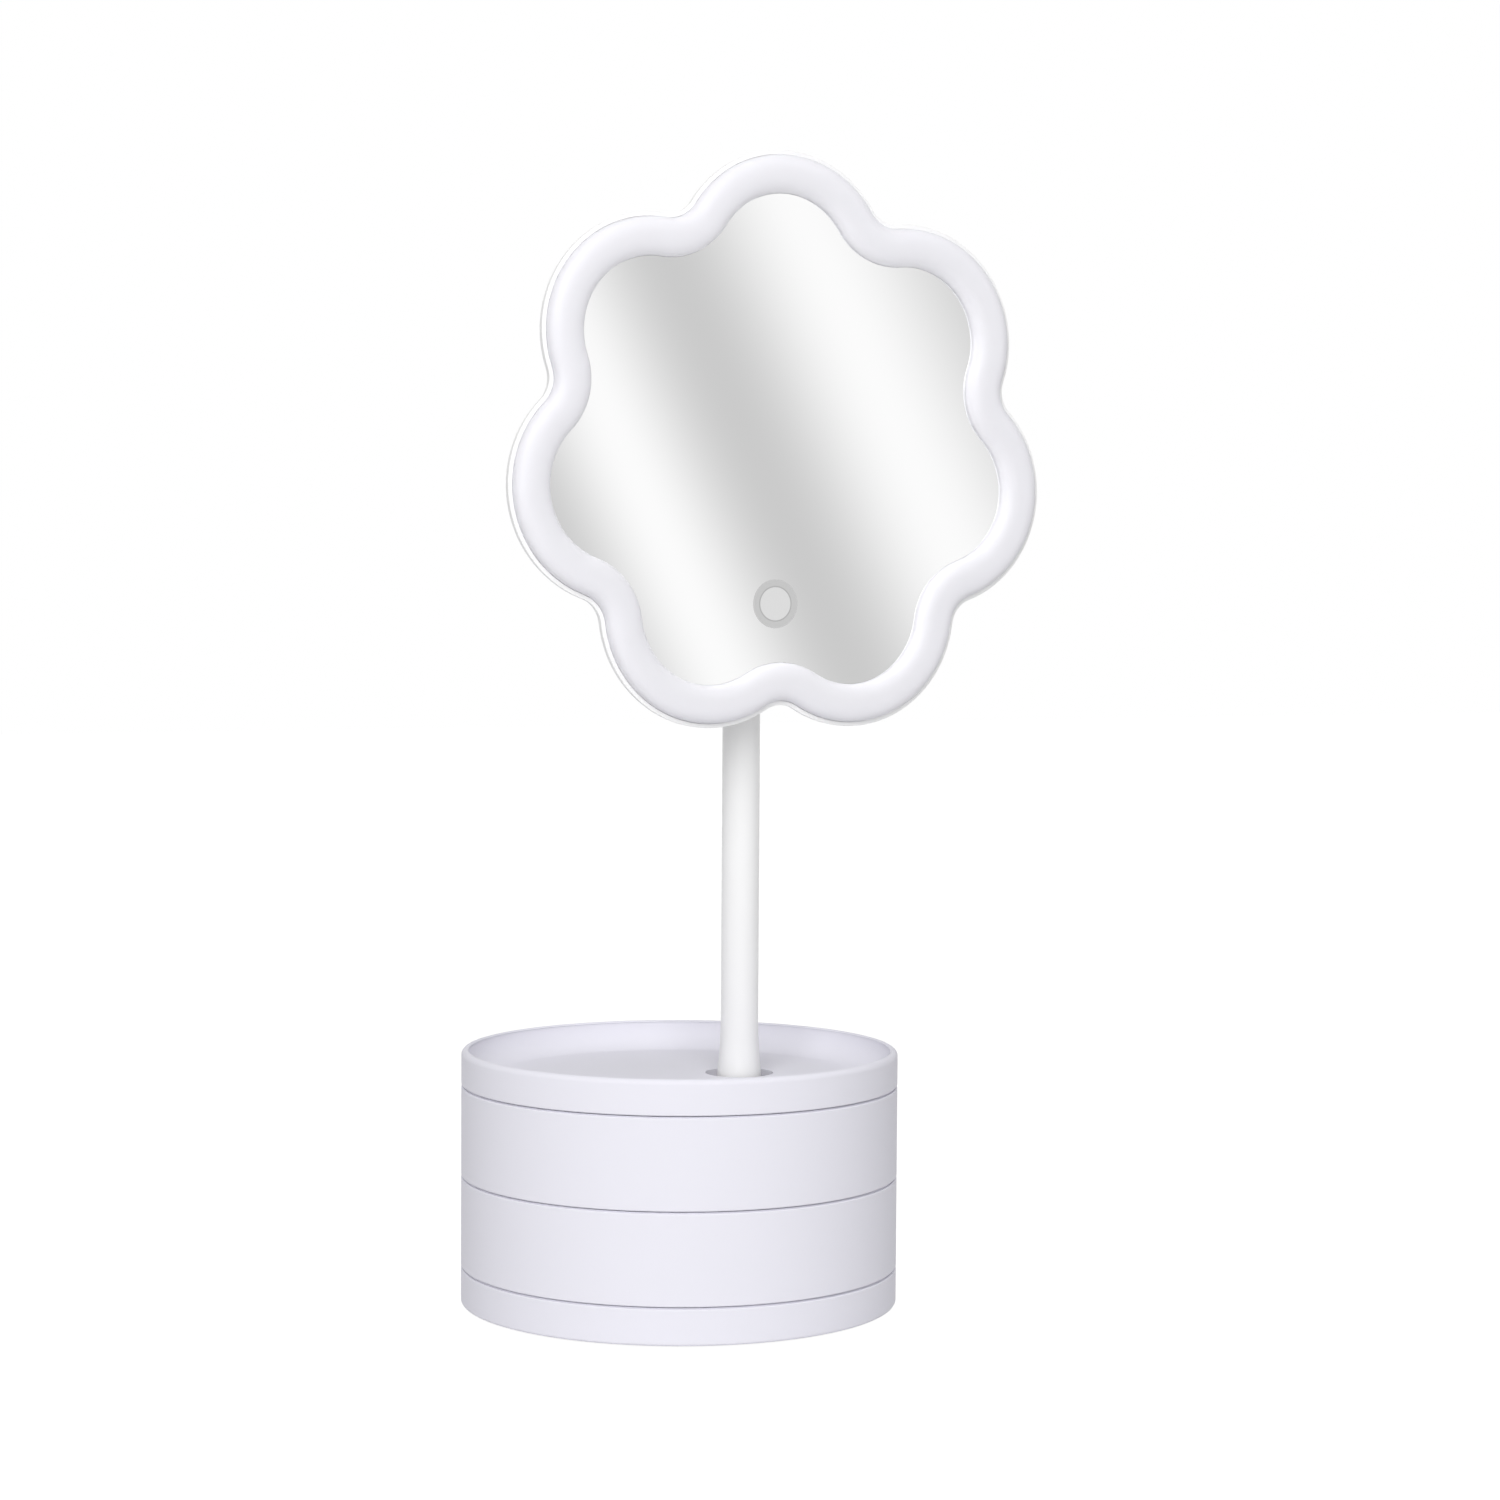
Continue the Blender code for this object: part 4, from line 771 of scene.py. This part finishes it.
head_radius = (bolt_high.z - bolt_low.z) / 2
seat = LUG_HIGH + SEAT_GAP
bolt_end = hinge_place.x - bolt_low.x
crown = bolt_end - seat
bolt_profile = [(0.0, -seat), (BOLT_RADIUS, -seat), (BOLT_RADIUS, seat), (head_radius, seat)]
bolt_profile += arc((head_radius - crown, seat), crown, 0, 90)
bolt_profile += [(0.0, bolt_end)]
key = disc(head_radius * HEX_SHARE, bolt_end - crown * HEX_DEPTH_SHARE, bolt_end + crown, HEX_SIDES)
mesh = carved("bolt", across(turned(bolt_profile), -1), cuts=[across(key, -1)])
piece("cap_bolt", smoothed(mesh), zinc_plate, "head", "zinc_steel", "hinge_bolt")
nut_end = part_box("hinge_nut")[1].x - hinge_place.x
nut_dish = nut_end - crown * NUT_DISH_SHARE
nut = turned([(BOLT_BORE, seat), (head_radius, seat), (head_radius, nut_end), (0.0, nut_end),
              (0.0, nut_dish), (BOLT_BORE, nut_dish)], HEX_SIDES)
mesh = carved("nut", across(nut), bevel=CASTING_ROUND / 2)
piece("cap_nut", smoothed(mesh), zinc_plate, "head", "zinc_steel", "hinge_nut")
for number, side in enumerate((-1, 1), 1):
    low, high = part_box(f"friction_washer_{number}")
    near, far = sorted((abs(low.x - hinge_place.x), abs(high.x - hinge_place.x)))
    mesh = carved("washer", across(tube(BOLT_BORE, FRICTION_RADIUS, near, far), side))
    piece(f"slip_washer_{number}", smoothed(mesh), slip_nylon, "mast", "natural_nylon",
          f"friction_washer_{number}")
screw_set("bracket_screw", 4, HEADS_FORWARD, BRACKET_HEAD_HEIGHT, "head")

# Rear shell: the head's moulded back, a shallow dish with seven lobes. Its thin lip shows as a
# white line round the light ring, and the charging socket comes through its back.
LOBES = 7
LOBE_CIRCLE = 0.060
LOBE_RADIUS = 0.038
VALLEY_RADIUS = 0.0113
LOBE_STEPS = 40
VALLEY_STEPS = 14
LIP_WIDTH = 0.0012
LIP_FLAT = 0.0008
LIP_ROUND = 0.0003
LIP_JOINT = 0.0001
RING_LEG = 0.0027
SHOULDER = 0.0240
RISE_SHARE = 0.53
INNER_RISE_SHARE = 0.48
TURN_SHARE = 0.33
HOUSING_WALL = 0.0018
CURVE_STEPS = 16

lobed_tree, given, result = node_tree("lobed sweep", (
    ("Lobe Circle", FLOAT), ("Lobe Radius", FLOAT), ("Valley Radius", FLOAT), ("Lobe Turn", FLOAT),
    ("Valley Circle", FLOAT), ("Middle", VECTOR), ("Section Points", "NodeSocketInt"),
    ("Material", "NodeSocketMaterial")))
size = given.outputs
half_lobe = math.pi / LOBES
sector_steps = LOBE_STEPS + VALLEY_STEPS
rows = LOBES * sector_steps + 1


def sum_of(operation, *values):
    return reckon(lobed_tree, operation, *values)


sheet = put(lobed_tree, "GeometryNodeMeshGrid", {"Size X": 1.0, "Size Y": 1.0, "Vertices X": rows,
                                                 "Vertices Y": size["Section Points"]})
index = put(lobed_tree, "GeometryNodeInputIndex").outputs[0]
row = sum_of("FLOOR", sum_of("DIVIDE", sum_of("ADD", index, 0.5), size["Section Points"]))
column = sum_of("SUBTRACT", index, sum_of("MULTIPLY", row, size["Section Points"]))
sector = sum_of("FLOOR", sum_of("DIVIDE", sum_of("ADD", row, 0.5), float(sector_steps)))
step = sum_of("SUBTRACT", row, sum_of("MULTIPLY", sector, float(sector_steps)))
facing = sum_of("MULTIPLY_ADD", sector, 2 * half_lobe, math.pi / 2)
in_valley = sum_of("GREATER_THAN", step, float(LOBE_STEPS))
lobe_share = sum_of("DIVIDE", step, float(LOBE_STEPS))
lobe_turn = sum_of("MULTIPLY", sum_of("MULTIPLY_ADD", lobe_share, 2.0, -1.0), size["Lobe Turn"])
valley_share = sum_of("DIVIDE", sum_of("SUBTRACT", step, float(LOBE_STEPS)), float(VALLEY_STEPS))
valley_span = sum_of("MULTIPLY", sum_of("SUBTRACT", size["Lobe Turn"], half_lobe), -2.0)
valley_turn = sum_of("MULTIPLY_ADD", valley_share, valley_span, size["Lobe Turn"])


def either(valley, lobe):
    """The valley's value in a valley, and the lobe's elsewhere."""
    mixed = put(lobed_tree, "ShaderNodeMix", {"Factor": in_valley, "A": lobe, "B": valley})
    return mixed.outputs[0]


turn = sum_of("ADD", facing, either(valley_turn, lobe_turn))
side = either(sum_of("ADD", facing, half_lobe), facing)
circle = either(size["Valley Circle"], size["Lobe Circle"])
bend = either(sum_of("MULTIPLY", size["Valley Radius"], -1.0), size["Lobe Radius"])
point = put(lobed_tree, "GeometryNodeSampleIndex", {
    "Geometry": size["Geometry"], "Index": column,
    "Value": put(lobed_tree, "GeometryNodeInputPosition").outputs[0]}, data_type="FLOAT_VECTOR")
section = put(lobed_tree, "ShaderNodeSeparateXYZ", {0: point.outputs[0]}).outputs
reach = sum_of("ADD", bend, section["X"])
spread = sum_of("SUBTRACT", 1.0, section["Z"])
wide = sum_of("MULTIPLY_ADD", reach, sum_of("COSINE", turn),
              sum_of("MULTIPLY", circle, sum_of("COSINE", side)))
tall = sum_of("MULTIPLY_ADD", reach, sum_of("SINE", turn),
              sum_of("MULTIPLY", circle, sum_of("SINE", side)))
spot = put(lobed_tree, "ShaderNodeCombineXYZ", {0: sum_of("MULTIPLY", wide, spread),
                                                1: section["Y"],
                                                2: sum_of("MULTIPLY", tall, spread)})
spot = put(lobed_tree, "ShaderNodeVectorMath", {0: spot.outputs[0], 1: size["Middle"]},
           operation="ADD")
swept = put(lobed_tree, "GeometryNodeSetPosition", {"Geometry": sheet.outputs["Mesh"],
                                                    "Position": spot.outputs[0]})
welded = put(lobed_tree, "GeometryNodeMergeByDistance", {"Geometry": swept.outputs[0],
                                                         "Distance": MERGE_DISTANCE})
close_tree(lobed_tree, welded.outputs[0], size["Material"], result)

lobe_side = LOBE_CIRCLE * math.sin(half_lobe)
valley_reach = math.sqrt((LOBE_RADIUS + VALLEY_RADIUS) ** 2 - lobe_side ** 2)
lobe_turn_limit = math.atan2(lobe_side, valley_reach) + half_lobe
valley_circle = LOBE_CIRCLE * math.cos(half_lobe) + valley_reach
lip_plane = glass_low.y - SEAT_GAP


def lobed(name, section, material):
    """Sweeps (outward offset, depth, share drawn in to the middle) points round the lobes."""
    start = bpy.data.meshes.new(name)
    start.from_pydata(section, [], [])
    mesh = grown(name, start, lobed_tree, {
        "Lobe Circle": LOBE_CIRCLE, "Lobe Radius": LOBE_RADIUS, "Valley Radius": VALLEY_RADIUS,
        "Lobe Turn": lobe_turn_limit, "Valley Circle": valley_circle,
        "Middle": (hinge_place.x, lip_plane, hinge_place.z), "Section Points": len(section),
        "Material": material})
    shape = bmesh.new()
    shape.from_mesh(mesh)
    bmesh.ops.recalc_face_normals(shape, faces=shape.faces)
    return shape


def curved(*corners):
    """Points of a cubic curve in a section, from its start, two pulls and its end."""
    points = []
    for step in range(CURVE_STEPS + 1):
        gone = step / CURVE_STEPS
        left = 1 - gone
        weights = (left ** 3, 3 * gone * left ** 2, 3 * gone ** 2 * left, gone ** 3)
        points.append(tuple(sum(weight * corner[axis] for weight, corner in zip(weights, corners))
                            for axis in (0, 1)))
    return points


shell_white = finished("shell_white", moulded, {"Colour": grey(0.95), "Tone": 0.01,
                                                "Roughness": 0.40},
                       bump=0.000004, Specular_IOR_Level=0.3)
shell_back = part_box("rear_housing")[1].y - lip_plane
shell_inside = shell_back - HOUSING_WALL
lip = SEAT_GAP + LIP_WIDTH
outer = curved((lip, LIP_FLAT), (lip, shell_back * RISE_SHARE),
               (-SHOULDER * TURN_SHARE, shell_back), (-SHOULDER, shell_back))
inner = curved((SEAT_GAP, RING_LEG), (SEAT_GAP, shell_inside * INNER_RISE_SHARE),
               (-SHOULDER * TURN_SHARE, shell_inside), (-SHOULDER, shell_inside))
section = [(-SHOULDER, shell_back, 1.0), (-SHOULDER - 2 * HOLD, shell_back, 0.0)]
section += [(*point, 0.0) for point in reversed(outer)]
section += [(offset, depth, 0.0) for offset, depth in
            arc((lip - LIP_ROUND, LIP_ROUND), LIP_ROUND, 0, -90)]
section += [(LIP_JOINT, 0.0, 0.0), (LIP_JOINT, RING_LEG, 0.0)]
section += [(*point, 0.0) for point in inner]
section += [(-SHOULDER, shell_inside, 1.0)]
socket_low, socket_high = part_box("usb_socket")
socket_middle = (socket_low + socket_high) / 2
socket_height = socket_high.z - socket_low.z
socket_width = socket_high.x - socket_low.x


def socket_bar(grow, front, back):
    """A bar with round sides that runs back through the shell, grown by a clearance."""
    radius = socket_height / 2 + grow
    half = (socket_width - socket_height) / 2
    shape = bmesh.new()
    outline = arc((half, 0.0), radius, -90, 90) + arc((-half, 0.0), radius, 90, 270)
    near = [shape.verts.new((socket_middle.x + x, front, socket_middle.z + z)) for x, z in outline]
    far = [shape.verts.new((socket_middle.x + x, back, socket_middle.z + z)) for x, z in outline]
    shape.faces.new(near)
    shape.faces.new(far)
    for number in range(len(near)):
        shape.faces.new((near[number - 1], near[number], far[number], far[number - 1]))
    bmesh.ops.recalc_face_normals(shape, faces=shape.faces)
    return shape


opening = socket_bar(SEAT_GAP, lip_plane + shell_inside - HOUSING_WALL,
                     lip_plane + shell_back + HOUSING_WALL)
mesh = carved("rear_shell", lobed("rear_shell", section, shell_white), cuts=[opening])
piece("lobed_rear_shell", smoothed(mesh), shell_white, "head", "shell_white_plastic",
      "rear_housing")

# Electrics in the head: a flat lithium cell in foil, a white circuit board, and a pressed steel
# charging socket whose mouth lies just under the shell's back.
SOCKET_WALL = 0.0004
SOCKET_POCKET = 0.0055
TONGUE_WIDTH_SHARE = 0.72
TONGUE_HEIGHT_SHARE = 0.22

board_white = finished("board_white", moulded, {"Colour": (0.80, 0.81, 0.78, 1), "Tone": 0.08,
                                                "Cloud Size": 300.0, "Roughness": 0.5},
                       bump=0.00002)
cell_foil = finished("cell_foil", worked, {"Colour": (0.55, 0.56, 0.58, 1), "Roughness": 0.4},
                     bump=0.00008, Metallic=0.6)


def sleeve(name, colour):
    """The plastic sleeve of a lead."""
    return finished(name, moulded, {"Colour": colour, "Roughness": 0.5}, bump=0.00001)


red_sleeve = sleeve("red_sleeve", (0.5, 0.03, 0.03, 1))
black_sleeve = sleeve("black_sleeve", grey(0.02))
white_sleeve = sleeve("white_sleeve", (0.82, 0.82, 0.8, 1))
dress(board_white, "control_board", "led_strip")
dress(cell_foil, "battery_cell")
dress(red_sleeve, "battery_lead_1")
dress(black_sleeve, "battery_lead_2")
dress(white_sleeve, "led_lead")
dress(zinc_plate, "touch_sensor")
pocket = socket_bar(-SOCKET_WALL, socket_high.y - SOCKET_POCKET, socket_high.y + SOCKET_WALL)
mesh = carved("socket", socket_bar(0.0, socket_low.y, socket_high.y), cuts=[pocket])
piece("charging_socket", smoothed(mesh), zinc_plate, "head", "zinc_steel", "usb_socket")
tongue_half = Vector((socket_width * TONGUE_WIDTH_SHARE, 0.0,
                      socket_height * TONGUE_HEIGHT_SHARE)) / 2
tongue_root = Vector((socket_middle.x, socket_high.y - SOCKET_POCKET, socket_middle.z))
tongue_tip = Vector((socket_middle.x, socket_high.y - SOCKET_WALL, socket_middle.z))
tongue = slab(tongue_root - tongue_half, tongue_tip + tongue_half)
mesh = carved("tongue", tongue, bevel=SOCKET_WALL / 4)
piece("socket_tongue", smoothed(mesh), black_sleeve, "head", "dark_acetal")

# Inner plate: it backs the mirror, holds the lamp strip in its channel, and is screwed to four
# bosses in the rear shell.
CARRIER_HEAD_HEIGHT = 0.0007
dress(shell_white, "carrier")
screw_set("carrier_screw", 4, HEADS_FORWARD, CARRIER_HEAD_HEIGHT, "head")

# Light ring: one moulding of frosted acrylic, crowned at the front, with two legs that straddle
# the lamp strip. The frosting spreads the lamp's light and hides its chips.
RING_WIDTH = 0.0128
RING_RISE = 0.0045
RING_WALL = 0.0018
OUTER_LEG = 0.0032
INNER_LEG = 0.0016
CROWN_STEPS = 28
CROWN_FLATNESS = 2.6

frosted = finished("frosted_acrylic", moulded, {"Colour": (0.885, 0.877, 0.94, 1), "Tone": 0.01,
                                                "Grain Size": 2600.0, "Roughness": 0.42},
                   bump=0.000004, Specular_IOR_Level=0.3, Subsurface_Weight=0.5,
                   Subsurface_Radius=(0.004, 0.004, 0.004), Subsurface_Scale=1.0)
leg_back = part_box("diffuser_ring")[1].y - lip_plane
inner_leg = RING_WIDTH - INNER_LEG
half_ring = RING_WIDTH / 2
half_hollow = (inner_leg - OUTER_LEG) / 2
crown_turns = [math.pi * step / CROWN_STEPS for step in range(CROWN_STEPS + 1)]
section = [(-RING_WIDTH, leg_back), (-inner_leg, leg_back)]
section += [(-(inner_leg + OUTER_LEG) / 2 - half_hollow * math.cos(turn),
             SEAT_GAP - (RING_RISE - RING_WALL) * math.sin(turn)) for turn in crown_turns]
section += [(-OUTER_LEG, RING_LEG), (0.0, RING_LEG)]
for turn in crown_turns:
    side = math.copysign(abs(math.cos(turn)) ** (2 / CROWN_FLATNESS), math.cos(turn))
    rise = abs(math.sin(turn)) ** (2 / CROWN_FLATNESS)
    section.append((half_ring * (side - 1), SEAT_GAP * turn / math.pi - RING_RISE * rise))
section += [section[0]]
mesh = carved("ring", lobed("ring", [(*point, 0.0) for point in section], frosted))
piece("light_ring", smoothed(mesh), frosted, "head", "frosted_acrylic", "diffuser_ring")

# Mirror: 2 mm glass, silvered and cut to the lobes, in the light ring. Below its middle a round
# touch mark is left in the silver: a pale disc, a thin line and a grey band.
GLASS_INSET = 0.01283
GLASS_BEVEL = 0.00008
MARK_DROP = 0.0520
MARK_SHIFT = -0.0020
MARK_DISC = 0.0056
MARK_LINE = 0.0004
MARK_RADIUS = 0.0082
MARK_SOFT = 0.00012
MARK_ROUGHNESS = 0.28
MIST_SCALE = 18.0
MIST_ROUGHNESS = 0.004

silver = empty_material("silvered_glass")
tree = silver.node_tree
place = put(tree, "ShaderNodeTexCoord").outputs["Object"]
mark = hinge_place + Vector((MARK_SHIFT, lip_plane, -MARK_DROP))
away = put(tree, "ShaderNodeVectorMath", {0: place, 1: tuple(mark)}, operation="SUBTRACT")
flat = put(tree, "ShaderNodeVectorMath", {0: away.outputs[0], 1: (1.0, 0.0, 1.0)},
           operation="MULTIPLY")
reach = put(tree, "ShaderNodeVectorMath", {0: flat.outputs[0]},
            operation="LENGTH").outputs["Value"]


def within(radius):
    """One inside a radius round the touch mark and nought outside, with a soft edge."""
    return put(tree, "ShaderNodeMapRange", {"Value": reach, "From Min": radius - MARK_SOFT,
                                            "From Max": radius + MARK_SOFT, "To Min": 1.0,
                                            "To Max": 0.0}).outputs[0]


mist = put(tree, "ShaderNodeTexNoise",
           {"Vector": place, "Scale": MIST_SCALE, "Detail": 2.0}).outputs["Fac"]
paint = grey(0.985)
for radius, level in ((MARK_RADIUS, 0.68), (MARK_DISC + MARK_LINE, 0.52), (MARK_DISC, 0.86)):
    paint = put(tree, "ShaderNodeMix", {0: within(radius), 6: paint, 7: grey(level)},
                data_type="RGBA").outputs[2]
rough = reckon(tree, "MAXIMUM", reckon(tree, "MULTIPLY", mist, MIST_ROUGHNESS),
               reckon(tree, "MULTIPLY", within(MARK_RADIUS), MARK_ROUGHNESS))
shader = put(tree, "ShaderNodeBsdfPrincipled", {"Base Color": paint, "Roughness": rough,
                                                "Metallic": 1.0})
put(tree, "ShaderNodeOutputMaterial", {"Surface": shader.outputs[0]})
front = glass_low.y - lip_plane
back = glass_high.y - lip_plane
section = [(-GLASS_INSET, front, 1.0), (-GLASS_INSET - GLASS_BEVEL, front, 0.0),
           (-GLASS_INSET, front + GLASS_BEVEL, 0.0), (-GLASS_INSET, back, 0.0),
           (-GLASS_INSET, back, 1.0)]
mesh = carved("mirror", lobed("mirror", section, silver))
piece("lobed_mirror", smoothed(mesh), silver, "head", "silvered_glass", "mirror_glass")

low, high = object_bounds()
